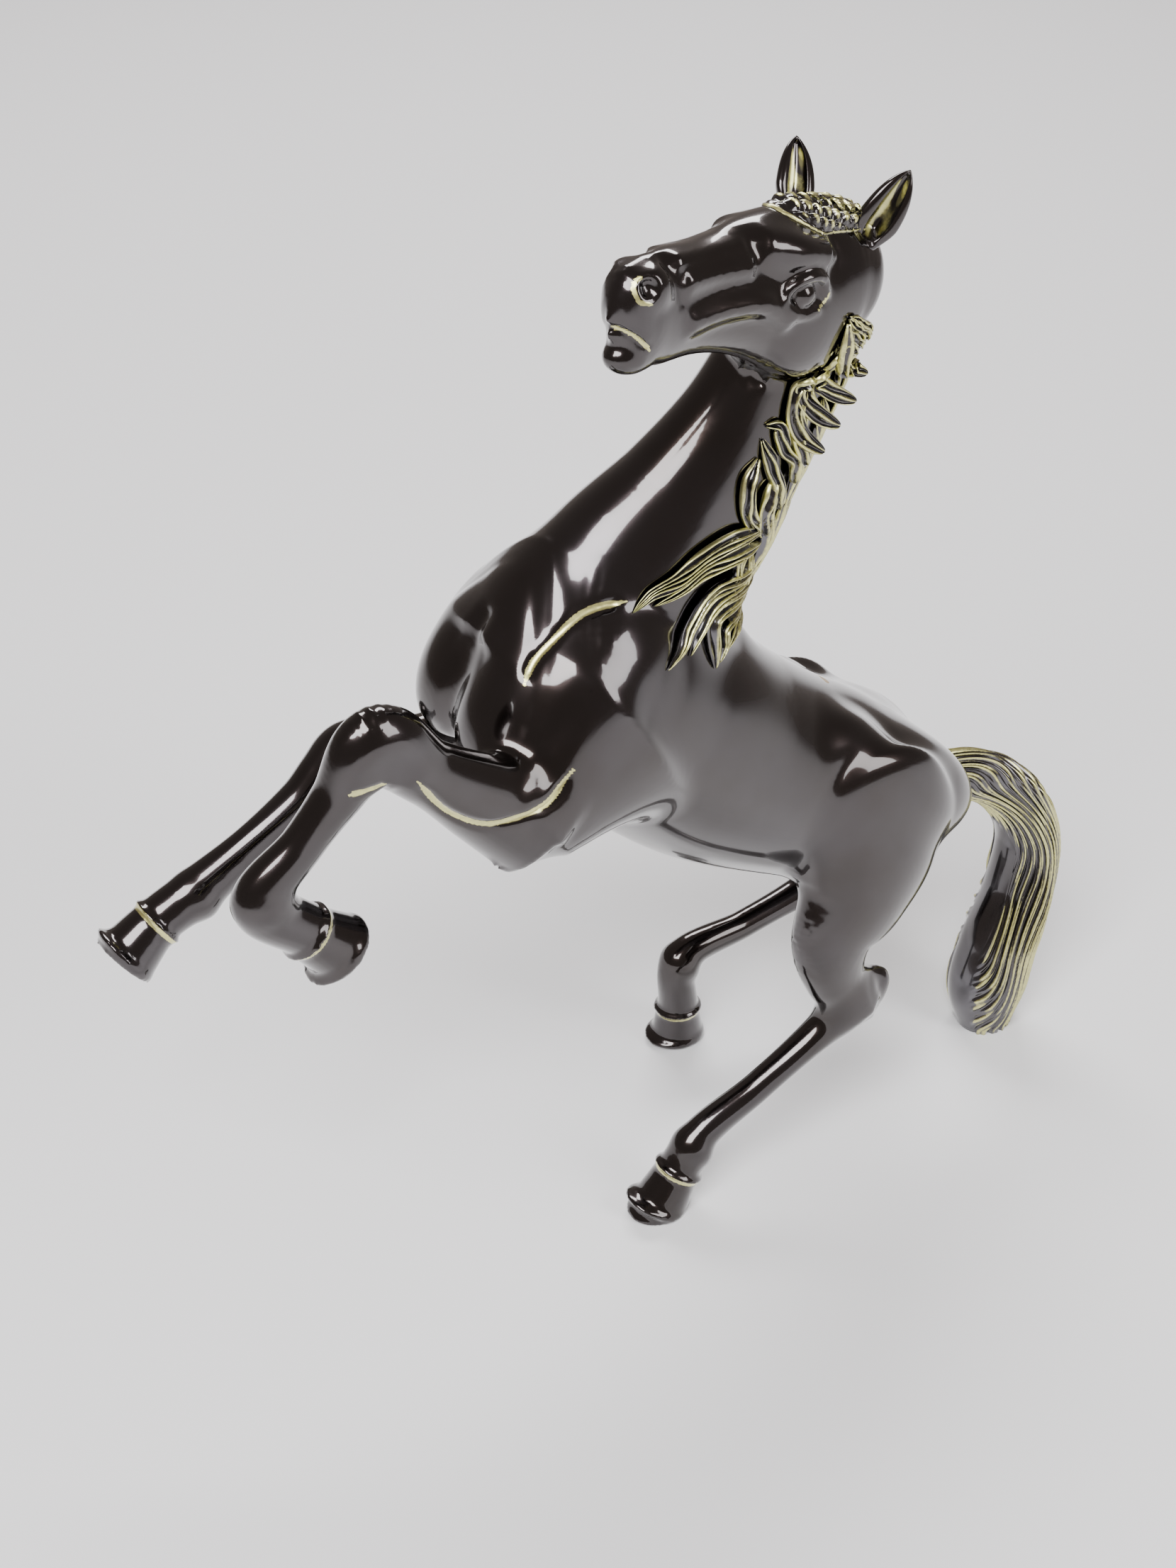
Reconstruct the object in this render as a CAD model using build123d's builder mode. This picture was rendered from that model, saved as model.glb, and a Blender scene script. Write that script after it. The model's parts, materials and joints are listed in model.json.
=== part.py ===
from build123d import *

import os
from math import cos, radians, sin

# A rearing horse, hollow-cast in sections that are joined with roman joints, studs and dowels.
# It faces -X, its left side is -Y, and it stands on both hind hooves and the tip of its tail.
# The origin is on the ground under the middle of the figure.

# ------------------------------------------------------------------ driving sizes, mm and degrees
trunk_pitch = 36.5  # how far the trunk is reared above level
trunk_length = 150.0  # croup to breast, along the trunk
croup_x = 78.0  # croup centre behind the origin
croup_height = 98.0  # croup centre above the ground
girth_half_width = 30.5
girth_half_depth = 31.5

neck_length = 100.0
neck_lean = 56.8  # above level, leaning back over the trunk
neck_swing = 7.0  # how far the poll swings to the left
neck_half_depth = 22.0  # at mid length
neck_half_width = 15.5

head_length = 75.0
head_yaw = 17.0  # turned to the left
head_lift = 13.5  # muzzle above level

ear_length = 18.5
ear_half_width = 5.4

fore_cannon_half_width = 4.8
hind_cannon_half_width = 4.3
hoof_half_width = 8.0
hoof_half_length = 8.8
coronet_height = 12.5  # of the two hind hooves that stand on the ground
hind_stance = 30.0  # hind hoof centre to the middle plane
shoulder_inset = 10.5  # foreleg root inside the widest part of the girth
left_hock_height = 51.0
right_hock_height = 43.0
left_fetlock_height = 19.0
right_fetlock_height = 30.0

forearm_length = 57.0
left_fore_cannon_length = 45.0
right_fore_cannon_length = 53.0
left_pastern_length = 16.0  # of the lifted forelegs
right_pastern_length = 11.0
fore_hoof_reach = 14.0  # coronet to the ground face of a lifted hoof

tail_drop_back = 26.0  # tail tip behind the dock
tail_half_width = 10.5

wall = 2.6  # of every hollow casting
lip_length = 6.0  # roman joint lips
lip_thickness = 1.8
lip_seat = 0.3  # depth that a lip's seat is cut into the wall round it
fit_clearance = 0.1  # all round a lip, sleeve, stud or dowel
end_clearance = 0.4  # beyond the end of a lip, stud or dowel

dowel_radius = 1.5
dowel_depth = 4.0  # into each side of a knee, hock or hoof joint
stud_radius = 2.0
stud_depth_out = 11.0  # into a leg or the tail
stud_depth_in = 6.0  # into the hollow trunk
screw_radius = 1.1
thread_clearance = 0.02  # round a driven screw
plug_radius = 2.2
vent_radius = 6.0

pitch = radians(trunk_pitch)
lean = radians(neck_lean)
yaw = radians(head_yaw)
lift = radians(head_lift)
middle = Vector(0, 1, 0)


# ------------------------------------------------------------------ stations and section planes
def trunk_point(along, above=0.0, side=0.0):
    """A point of the reared trunk: ahead of the croup, above its centre line, to the right."""
    return Vector(
        croup_x - along * cos(pitch) + above * sin(pitch),
        side,
        croup_height + along * sin(pitch) + above * cos(pitch),
    )


def swing(start, length, angle, side=0.0):
    """The point at a length from another, at an angle above level, forwards."""
    a = radians(angle)
    return start + Vector(-length * cos(a), side, length * sin(a))


def blend(start, end, share, forward=0.0):
    """The point at a share of the way between two points, moved forwards."""
    return start + (end - start) * share - Vector(forward, 0, 0)


def section_planes(points, last=None):
    """One plane across the path at each of its points, with x across the body."""
    planes = []
    for i, point in enumerate(points):
        before = points[max(i - 1, 0)]
        after = points[min(i + 1, len(points) - 1)]
        normal = (after - before).normalized()
        if i == len(points) - 1 and last is not None:
            normal = last
        across = (middle - normal * middle.dot(normal)).normalized()
        planes.append(Plane(origin=point, x_dir=across, z_dir=normal))
    return planes


def stations(points, halves, last=None):
    """Section planes with their half widths and half depths."""
    planes = section_planes(points, last)
    return [(plane, a, b) for plane, (a, b) in zip(planes, halves, strict=True)]


# ------------------------------------------------------------------ trunk
# share of trunk_length ahead of the croup, mm above the centre line, shares of the girth
trunk_table = [
    (-0.138, 3.0, 0.10, 0.10),
    (-0.122, 2.6, 0.30, 0.28),
    (-0.080, 1.7, 0.54, 0.50),
    (0.0, 0.0, 0.76, 0.71),
    (0.134, -3.1, 0.89, 0.87),
    (0.287, -5.7, 0.96, 0.93),
    (0.457, -6.6, 0.99, 0.99),
    (0.654, -3.6, 1.03, 1.00),
    (0.834, -2.4, 1.07, 0.94),
    (0.950, -2.1, 0.93, 0.77),
    (1.000, -3.5, 0.60, 0.52),
    (1.020, -4.0, 0.20, 0.18),
]
trunk = stations(
    [trunk_point(share * trunk_length, above) for share, above, _, _ in trunk_table],
    [(a * girth_half_width, b * girth_half_depth) for _, _, a, b in trunk_table],
)
flank_joint = 4  # station where the hindquarter meets the barrel
girth_joint = 7  # station where the barrel meets the forehand

with BuildPart() as trunk_body:
    for plane, a, b in trunk:
        with BuildSketch(plane):
            Ellipse(a, b)
    loft()

with BuildPart() as trunk_core:
    for plane, a, b in trunk[2:-1]:
        with BuildSketch(plane):
            Ellipse(a - wall, b - wall)
    loft()


def trunk_slab(low, high):
    """The stretch of the trunk between two section planes, as a large block."""
    size = 3 * trunk_length
    start = trunk[low][0] if low is not None else None
    end = trunk[high][0] if high is not None else None
    with BuildPart() as slab:
        with BuildSketch(start or end):
            Rectangle(size, size)
        extrude(amount=size if start else -size)
        if start and end:
            with BuildSketch(end):
                Rectangle(size, size)
            extrude(amount=size, mode=Mode.SUBTRACT)
    return slab.part


# ------------------------------------------------------------------ neck
neck_along = 0.836 * trunk_length
neck_root = trunk_point(neck_along, above=8.0)
neck_seat = trunk_point(neck_along)  # the neck's shell goes no lower than the trunk's centre line
trunk_upward = trunk_point(0, above=1) - trunk_point(0)
# share of neck_length from its root, mm ahead of the straight line, shares of the mid neck
neck_table = [
    (-0.06, 0.0, 1.62, 1.55),
    (0.0, 0.0, 1.56, 1.50),
    (0.22, -1.2, 1.28, 1.27),
    (0.44, -4.2, 1.02, 1.02),
    (0.66, -5.5, 0.85, 0.85),
    (0.86, -3.6, 0.77, 0.76),
    (1.00, -1.0, 0.71, 0.66),
]


def neck_point(share, ahead):
    run = share * neck_length
    return neck_root + Vector(
        run * cos(lean) - ahead * sin(lean),
        -max(share, 0.0) * neck_swing,
        run * sin(lean) + ahead * cos(lean),
    )


neck = stations(
    [neck_point(share, ahead) for share, ahead, _, _ in neck_table],
    [(a * neck_half_width, b * neck_half_depth) for _, _, a, b in neck_table],
)

with BuildPart() as neck_body:
    for plane, a, b in neck:
        with BuildSketch(plane):
            Ellipse(a, b)
    loft()

# ------------------------------------------------------------------ head
forward = Vector(-cos(lift) * cos(yaw), -cos(lift) * sin(yaw), sin(lift))
leftward = Vector(sin(yaw), -cos(yaw), 0)
upward = forward.cross(leftward) if forward.cross(leftward).Z > 0 else leftward.cross(forward)
poll = neck_point(1.0, 0.0) + Vector(9.5, 0, 13.5)


def head_point(along, left=0.0, above=0.0):
    """A point of the head: ahead of the poll, to its left and above the nose line."""
    return poll + forward * along + leftward * left + upward * above


# shares of head_length: ahead of the poll, centre below the nose line, half width, half depth
head_table = [
    (-0.10, 0.17, 0.07, 0.09),
    (-0.05, 0.16, 0.15, 0.16),
    (0.06, 0.15, 0.18, 0.225),
    (0.20, 0.18, 0.165, 0.265),
    (0.35, 0.160, 0.150, 0.245),
    (0.52, 0.158, 0.115, 0.202),
    (0.70, 0.172, 0.088, 0.172),
    (0.86, 0.190, 0.086, 0.172),
    (0.95, 0.203, 0.087, 0.160),
    (1.00, 0.215, 0.076, 0.138),
    (1.03, 0.225, 0.045, 0.085),
]
head = [
    (
        Plane(
            origin=head_point(along * head_length, above=-below * head_length),
            x_dir=leftward,
            z_dir=forward,
        ),
        a * head_length,
        b * head_length,
    )
    for along, below, a, b in head_table
]

with BuildPart() as head_body:
    for plane, a, b in head:
        with BuildSketch(plane):
            Ellipse(a, b)
    loft()

# Sleeves that locate the neck on the forehand and the head on the neck.
withers_sleeve_a = 0.85 * neck_half_width
withers_sleeve_b = 0.85 * neck_half_depth
withers_sleeve_plane = Plane(
    origin=neck_point(0.02, 0.0), x_dir=neck[1][0].x_dir, z_dir=neck[1][0].z_dir
)
poll_sleeve_a = 0.46 * neck_half_width
poll_sleeve_b = 0.34 * neck_half_depth
poll_sleeve_plane = Plane(
    origin=neck_point(0.93, -1.0), x_dir=neck[-2][0].x_dir, z_dir=neck[-1][0].z_dir
)
sleeve_down = 13.0
sleeve_up = 20.0

# ------------------------------------------------------------------ legs and tail, as station lists
left, right = -1, 1


def hind_leg(side, hock_x, hock_height, fetlock_x, fetlock_height, sole_x, bow):
    """Hip, thigh, gaskin, hock, cannon, pastern, coronet and sole of one hind leg."""
    y = side * hind_stance
    hip = trunk_point(15.0, above=-1.0, side=0.48 * y)
    hock = Vector(hock_x, y, hock_height)
    fetlock = Vector(fetlock_x, y, fetlock_height)
    coronet = blend(Vector(sole_x, y, 0), fetlock, coronet_height / fetlock_height)
    # share of the way down, share of the bow forwards, share of the way out, half width and depth
    thigh = [
        (0.0, 0.0, 0.0, 16.0, 25.0),
        (0.18, 0.28, 0.40, 15.0, 24.0),
        (0.36, 0.60, 0.70, 12.0, 19.5),
        (0.56, 0.95, 0.90, 8.5, 13.5),
        (0.77, 0.74, 0.96, 6.8, 9.6),
    ]
    points = []
    halves = []
    for down, out, aside, half_width, half_depth in thigh:
        point = blend(hip, hock, down, forward=bow * out)
        points.append(Vector(point.X, hip.Y + (y - hip.Y) * aside, point.Z))
        halves.append((half_width, half_depth))
    points += [hock, blend(hock, fetlock, 0.24), blend(hock, fetlock, 0.6), fetlock, coronet]
    thin = hind_cannon_half_width
    halves += [(5.8, 9.0), (1.15 * thin, 1.25 * thin), (thin, 1.1 * thin)]
    halves += [(1.25 * thin, 1.4 * thin), (1.45 * thin, 1.5 * thin)]
    points += [Vector(sole_x, y, 0)]
    halves += [(hoof_half_width, hoof_half_length)]
    return stations(points, halves, last=Vector(0, 0, -1))


def fore_leg(side, root_along, lengths, angles):
    """Shoulder, elbow, knee, fetlock, coronet and ground face of one lifted foreleg."""
    arm, cannon, pastern = lengths
    elbow_angle, knee_angle, cannon_angle, pastern_angle, hoof_angle = angles
    root = trunk_point(root_along, above=-6.0, side=side * (girth_half_width - shoulder_inset))
    elbow = swing(root, arm, elbow_angle, side=side * 7.0)
    knee = swing(elbow, forearm_length, knee_angle, side=side * 3.0)
    fetlock = swing(knee, cannon, cannon_angle, side=-side * 1.5)
    coronet = swing(fetlock, pastern, pastern_angle, side=-side * 0.5)
    ground = swing(coronet, fore_hoof_reach, hoof_angle, side=-side * 1.0)
    thin = fore_cannon_half_width
    points = [root, blend(root, elbow, 0.5), elbow]
    halves = [(15.0, 26.0), (12.5, 21.0), (9.5, 14.0)]
    points += [blend(elbow, knee, share) for share in (0.35, 0.69)]
    halves += [(8.0, 11.0), (1.45 * thin, 1.7 * thin)]
    points += [knee, blend(knee, fetlock, 0.33), blend(knee, fetlock, 0.62), fetlock, coronet]
    halves += [(1.4 * thin, 2.0 * thin), (1.15 * thin, 1.25 * thin), (thin, 1.1 * thin)]
    halves += [(1.25 * thin, 1.45 * thin), (1.3 * thin, 1.4 * thin)]
    points += [ground]
    halves += [(hoof_half_width, hoof_half_length)]
    return stations(points, halves, last=(ground - coronet).normalized())


legs = {
    "left_fore": fore_leg(
        left,
        root_along=0.82 * trunk_length,
        lengths=(29.0, left_fore_cannon_length, left_pastern_length),
        angles=(-30.0, 43.0, -48.7, -128.0, -132.0),
    ),
    "right_fore": fore_leg(
        right,
        root_along=0.66 * trunk_length,
        lengths=(17.0, right_fore_cannon_length, right_pastern_length),
        angles=(-50.0, 5.5, -29.2, -22.0, -36.0),
    ),
    "left_hind": hind_leg(
        left,
        hock_x=croup_x - 24.0,
        hock_height=left_hock_height,
        fetlock_x=croup_x - 79.5,
        fetlock_height=left_fetlock_height,
        sole_x=croup_x - 90.5,
        bow=15.0,
    ),
    "right_hind": hind_leg(
        right,
        hock_x=croup_x + 13.0,
        hock_height=right_hock_height,
        fetlock_x=croup_x - 46.5,
        fetlock_height=right_fetlock_height,
        sole_x=croup_x - 46.5,
        bow=5.0,
    ),
}
knee_station = 5  # knee or hock
coronet_station = 9

dock = trunk_point(-16.0, above=6.0)
tail_tip = Vector(dock.X + tail_drop_back, -13.0, 0)
# share of the height of the dock above the ground, mm behind the dock, shares of the half width
tail_table = [
    (1.00, 0.0, 0.70, 0.70),
    (1.00, 11.0, 0.70, 0.66),
    (0.95, 24.0, 0.76, 0.71),
    (0.845, 35.0, 0.86, 0.80),
    (0.69, 41.5, 0.95, 0.88),
    (0.48, 39.0, 1.05, 0.98),
    (0.27, 31.0, 1.12, 1.14),
    (0.11, 26.5, 1.06, 1.12),
    (0.0, tail_drop_back, 0.76, 0.80),
]
tail = stations(
    [
        Vector(dock.X + back, tail_tip.Y * (1 - height), dock.Z * height)
        for height, back, _, _ in tail_table
    ],
    [(a * tail_half_width, b * tail_half_width) for _, _, a, b in tail_table],
    last=Vector(0, 0, -1),
)

# ------------------------------------------------------------------ studs, screws and plugs
def skin_plane(limb):
    """The plane where a limb's centre line leaves the trunk, with z along the limb."""
    points = [plane.origin for plane, _, _ in limb]
    for start, end in zip(points, points[1:]):
        if not trunk_body.part.is_inside(end):
            inside = (Edge.make_line(start, end) & trunk_body.part).edges()[0]
            leave = max((inside @ 0, inside @ 1), key=lambda point: (point - start).length)
            return Plane(origin=leave, z_dir=(end - start).normalized())


stud_planes = {name: skin_plane(limb) for name, limb in legs.items()}
stud_planes["tail"] = skin_plane(tail)


def seat(radius, ahead, behind, plane):
    """A round clearance cutter along a plane's normal."""
    with BuildPart() as cutter:
        with BuildSketch(plane.offset(-behind)):
            Circle(radius)
        extrude(amount=ahead + behind)
    return cutter.part


stud_holes = [
    seat(stud_radius + fit_clearance, stud_depth_out + end_clearance, stud_depth_in, plane)
    for plane in stud_planes.values()
]

screw_turns = [62.0, 118.0, 242.0, 298.0]


def screw_planes(joint, outward):
    """Planes on the skin round a trunk joint, through the middle of its lip, facing out."""
    plane, a, b = trunk[joint]
    base = plane.offset(outward * lip_length / 2)
    planes = []
    for turn in screw_turns:
        t = radians(turn)
        radial = base.x_dir * (b * cos(t)) + base.y_dir * (a * sin(t))
        rim = base.origin + base.x_dir * (a * cos(t)) + base.y_dir * (b * sin(t))
        planes.append(Plane(origin=rim, z_dir=radial.normalized()))
    return planes


joint_screws = screw_planes(girth_joint, 1) + screw_planes(flank_joint, -1)
screw_reach = wall + lip_thickness


def screw_solids(planes, radius, reach):
    """Headless screws that end flush with the trunk's skin."""
    with BuildPart() as screws:
        for plane in planes:
            with BuildSketch(plane.offset(-reach)):
                Circle(radius)
            extrude(amount=reach + wall)
        add(trunk_body.part, mode=Mode.INTERSECT)
    return screws.part


screw_holes = screw_solids(joint_screws, screw_radius + thread_clearance, screw_reach + end_clearance)


def belly_plane(station, turn):
    """The plane on the skin of a trunk station, facing out at a turn from its side."""
    plane, a, b = station
    t = radians(turn)
    rim = plane.origin + plane.x_dir * (a * cos(t)) + plane.y_dir * (b * sin(t))
    return Plane(origin=rim, z_dir=(plane.x_dir * cos(t) + plane.y_dir * sin(t)).normalized())


down_turn = -90.0 if trunk[5][0].y_dir.Z > 0 else 90.0
vent_plane = belly_plane(trunk[6], down_turn)
core_pin_planes = [belly_plane(trunk[5], down_turn), belly_plane(trunk[5], -down_turn)]

pieces = {}

# ------------------------------------------------------------------ trunk castings
with BuildPart() as forehand_shell:
    add(trunk_body.part)
    add(trunk_slab(girth_joint, None), mode=Mode.INTERSECT)
    add(trunk_core.part, mode=Mode.SUBTRACT)
    plane, a, b = trunk[girth_joint]
    with BuildSketch(plane):
        Ellipse(a - wall + lip_seat, b - wall + lip_seat)
    extrude(amount=lip_length + end_clearance, mode=Mode.SUBTRACT)
    with BuildSketch(withers_sleeve_plane.offset(-sleeve_down - end_clearance)):
        Ellipse(withers_sleeve_a + fit_clearance, withers_sleeve_b + fit_clearance)
    extrude(amount=sleeve_down + sleeve_up, mode=Mode.SUBTRACT)
    for hole in stud_holes:
        add(hole, mode=Mode.SUBTRACT)
    add(screw_holes, mode=Mode.SUBTRACT)
pieces["forehand_shell"] = forehand_shell

with BuildPart() as barrel_shell:
    add(trunk_body.part)
    add(trunk_slab(flank_joint, girth_joint), mode=Mode.INTERSECT)
    add(trunk_core.part, mode=Mode.SUBTRACT)
    for joint, outward in ((girth_joint, 1), (flank_joint, -1)):
        plane, a, b = trunk[joint]
        inner_a = a - wall - lip_thickness
        inner_b = b - wall - lip_thickness
        with BuildSketch(plane.offset(-outward * lip_length)):
            Ellipse(a - wall / 2, b - wall / 2)
            Ellipse(inner_a, inner_b, mode=Mode.SUBTRACT)
        extrude(amount=outward * lip_length)
        with BuildSketch(plane):
            Ellipse(a - wall + lip_seat - fit_clearance, b - wall + lip_seat - fit_clearance)
            Ellipse(inner_a, inner_b, mode=Mode.SUBTRACT)
        extrude(amount=outward * lip_length)
    for hole in stud_holes:
        add(hole, mode=Mode.SUBTRACT)
    add(screw_holes, mode=Mode.SUBTRACT)
    with BuildSketch(vent_plane.offset(-2 * wall)):
        Circle(vent_radius)
    extrude(amount=4 * wall, mode=Mode.SUBTRACT)
    for plane in core_pin_planes:
        with BuildSketch(plane.offset(-2 * wall)):
            Circle(plug_radius)
        extrude(amount=4 * wall, mode=Mode.SUBTRACT)
pieces["barrel_shell"] = barrel_shell

with BuildPart() as hindquarter_shell:
    add(trunk_body.part)
    add(trunk_slab(None, flank_joint), mode=Mode.INTERSECT)
    add(trunk_core.part, mode=Mode.SUBTRACT)
    plane, a, b = trunk[flank_joint]
    with BuildSketch(plane):
        Ellipse(a - wall + lip_seat, b - wall + lip_seat)
    extrude(amount=-lip_length - end_clearance, mode=Mode.SUBTRACT)
    for hole in stud_holes:
        add(hole, mode=Mode.SUBTRACT)
    add(screw_holes, mode=Mode.SUBTRACT)
pieces["hindquarter_shell"] = hindquarter_shell

with BuildPart() as joint_screw_set:
    add(screw_solids(joint_screws, screw_radius, screw_reach))
pieces["joint_screws"] = joint_screw_set

with BuildPart() as core_vent_plug:
    with BuildSketch(vent_plane.offset(-2 * wall)):
        Circle(vent_radius)
    extrude(amount=4 * wall)
    add(trunk_body.part, mode=Mode.INTERSECT)
    add(trunk_core.part, mode=Mode.SUBTRACT)
pieces["core_vent_plug"] = core_vent_plug

with BuildPart() as core_pin_plugs:
    for plane in core_pin_planes:
        with BuildSketch(plane.offset(-2 * wall)):
            Circle(plug_radius)
        extrude(amount=4 * wall)
    add(trunk_body.part, mode=Mode.INTERSECT)
    add(trunk_core.part, mode=Mode.SUBTRACT)
pieces["core_pin_plugs"] = core_pin_plugs

# ------------------------------------------------------------------ neck and head castings
with BuildPart() as neck_shell:
    add(neck_body.part)
    for plane, a, b in neck:
        with BuildSketch(plane):
            Ellipse(a - wall, b - wall)
    loft(mode=Mode.SUBTRACT)
    split(bisect_by=Plane(origin=neck_seat, z_dir=trunk_upward), keep=Keep.TOP)
    add(trunk_body.part, mode=Mode.SUBTRACT)
    add(head_body.part, mode=Mode.SUBTRACT)
    with BuildSketch(withers_sleeve_plane.offset(-sleeve_down)):
        Ellipse(withers_sleeve_a + fit_clearance, withers_sleeve_b + fit_clearance)
    extrude(amount=sleeve_down + sleeve_up + end_clearance, mode=Mode.SUBTRACT)
pieces["neck_shell"] = neck_shell

with BuildPart() as withers_sleeve:
    with BuildSketch(withers_sleeve_plane.offset(-sleeve_down)):
        Ellipse(withers_sleeve_a, withers_sleeve_b)
        Ellipse(
            withers_sleeve_a - lip_thickness, withers_sleeve_b - lip_thickness, mode=Mode.SUBTRACT
        )
    extrude(amount=sleeve_down + sleeve_up)
pieces["withers_sleeve"] = withers_sleeve

with BuildPart() as head_casting:
    add(head_body.part)
    for plane, a, b in head[1:-1]:
        with BuildSketch(plane):
            Ellipse(a - wall, b - wall)
    loft(mode=Mode.SUBTRACT)
    with BuildSketch(poll_sleeve_plane.offset(-sleeve_down)):
        Ellipse(poll_sleeve_a + fit_clearance, poll_sleeve_b + fit_clearance)
    extrude(amount=2 * sleeve_down + end_clearance, mode=Mode.SUBTRACT)
pieces["head_casting"] = head_casting

with BuildPart() as poll_sleeve:
    with BuildSketch(poll_sleeve_plane.offset(-sleeve_down)):
        Ellipse(poll_sleeve_a, poll_sleeve_b)
        Ellipse(poll_sleeve_a - lip_thickness, poll_sleeve_b - lip_thickness, mode=Mode.SUBTRACT)
    extrude(amount=2 * sleeve_down)
pieces["poll_sleeve"] = poll_sleeve

# ------------------------------------------------------------------ ears
# base and tip in head lengths: ahead of the poll, to the left, above the nose line
ear_roots = {
    "left_ear": ((0.05, 0.125, -0.01), (0.01, 0.21, 0.215)),
    "right_ear": ((0.13, -0.110, 0.04), (0.06, -0.18, 0.250)),
}
ear_table = ((0.0, 0.85), (0.35, 1.0), (0.7, 0.72), (1.0, 0.12))  # share of length, share of width
ear_flatness = 0.75

for name, ends in ear_roots.items():
    base, tip = (head_point(a * head_length, b * head_length, c * head_length) for a, b, c in ends)
    grow = (tip - base).normalized()
    with BuildPart() as ear:
        for share, width in ear_table:
            with BuildSketch(Plane(origin=base + grow * (share * ear_length), x_dir=leftward, z_dir=grow)):
                Ellipse(width * ear_half_width, width * ear_half_width * ear_flatness)
        loft()
        add(head_body.part, mode=Mode.SUBTRACT)
    pieces[name] = ear

# ------------------------------------------------------------------ mane and forelock
# in head lengths: ahead of the poll, above the nose line, half width, half depth
forelock_table = ((-0.07, -0.02, 0.05, 0.05), (0.12, 0.03, 0.13, 0.07), (0.36, 0.04, 0.09, 0.04))

with BuildPart() as forelock:
    for along, above, a, b in forelock_table:
        middle_point = head_point(along * head_length, above=above * head_length)
        with BuildSketch(Plane(origin=middle_point, x_dir=leftward, z_dir=forward)):
            Ellipse(a * head_length, b * head_length)
    loft()
    add(head_body.part, mode=Mode.SUBTRACT)
    for name in ear_roots:
        add(pieces[name].part, mode=Mode.SUBTRACT)
pieces["forelock"] = forelock

# share of neck_length, mm behind the crest, half width, half depth
mane_tables = {
    "crest_mane": (
        (1.02, -3.0, 3.0, 4.0),
        (0.86, 0.0, 4.0, 6.0),
        (0.66, 0.0, 4.2, 6.5),
        (0.5, -1.0, 3.0, 5.0),
    ),
    "withers_mane": (
        (0.48, -1.5, 3.0, 4.5),
        (0.32, -1.0, 4.6, 6.5),
        (0.14, -1.5, 4.6, 6.0),
        (0.02, -2.5, 3.0, 4.5),
    ),
}


def crest_point(share, behind):
    """A point on the back line of the neck."""
    table = neck_table[1:]
    upper = next(i for i, row in enumerate(table) if row[0] >= min(share, 1.0))
    upper = max(upper, 1)
    low, high = table[upper - 1], table[upper]
    t = (share - low[0]) / (high[0] - low[0])
    half = neck_half_depth * (low[3] + (high[3] - low[3]) * t)
    ahead = low[1] + (high[1] - low[1]) * t
    return neck_point(share, ahead - half - behind)


for name, table in mane_tables.items():
    points = [crest_point(share, behind) for share, behind, _, _ in table]
    with BuildPart() as mane:
        for plane, a, b in stations(points, [(a, b) for _, _, a, b in table]):
            with BuildSketch(plane):
                Ellipse(a, b)
        loft()
        add(neck_body.part, mode=Mode.SUBTRACT)
        add(trunk_body.part, mode=Mode.SUBTRACT)
        add(head_body.part, mode=Mode.SUBTRACT)
    pieces[name] = mane

# ------------------------------------------------------------------ legs
joint_planes = []
for name, limb in legs.items():
    ends = (0, knee_station, coronet_station, len(limb) - 1)
    joint_planes += [limb[knee_station][0], limb[coronet_station][0]]
    for span, low, high in zip(("upper", "cannon", "hoof"), ends, ends[1:]):
        with BuildPart() as segment:
            for plane, a, b in limb[low : high + 1]:
                with BuildSketch(plane):
                    Ellipse(a, b)
            loft()
            if span == "upper":
                add(trunk_body.part, mode=Mode.SUBTRACT)
                for hole in stud_holes:
                    add(hole, mode=Mode.SUBTRACT)
            for end in (low, high):
                if end in (knee_station, coronet_station):
                    with BuildSketch(limb[end][0].offset(-dowel_depth - end_clearance)):
                        Circle(dowel_radius + fit_clearance)
                    extrude(amount=2 * (dowel_depth + end_clearance), mode=Mode.SUBTRACT)
            if span != "upper":
                split(bisect_by=limb[low][0], keep=Keep.TOP)
            if span != "hoof":
                split(bisect_by=limb[high][0], keep=Keep.BOTTOM)
        pieces[f"{name}_{span}"] = segment

with BuildPart() as leg_dowels:
    for plane in joint_planes:
        with BuildSketch(plane.offset(-dowel_depth)):
            Circle(dowel_radius)
        extrude(amount=2 * dowel_depth)
pieces["leg_dowels"] = leg_dowels

# ------------------------------------------------------------------ tail
with BuildPart() as tail_casting:
    for plane, a, b in tail:
        with BuildSketch(plane):
            Ellipse(a, b)
    loft()
    add(trunk_body.part, mode=Mode.SUBTRACT)
    add(stud_holes[-1], mode=Mode.SUBTRACT)
pieces["tail_casting"] = tail_casting

for name, plane in stud_planes.items():
    with BuildPart() as stud:
        with BuildSketch(plane.offset(-stud_depth_in)):
            Circle(stud_radius)
        extrude(amount=stud_depth_in + stud_depth_out)
    pieces[f"{name}_stud"] = stud

# ------------------------------------------------------------------ one STEP for each piece
os.makedirs("parts", exist_ok=True)
for name, piece in pieces.items():
    piece.part.label = name
    export_step(piece.part, f"parts/{name}.step")
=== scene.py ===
import json
import math

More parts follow.
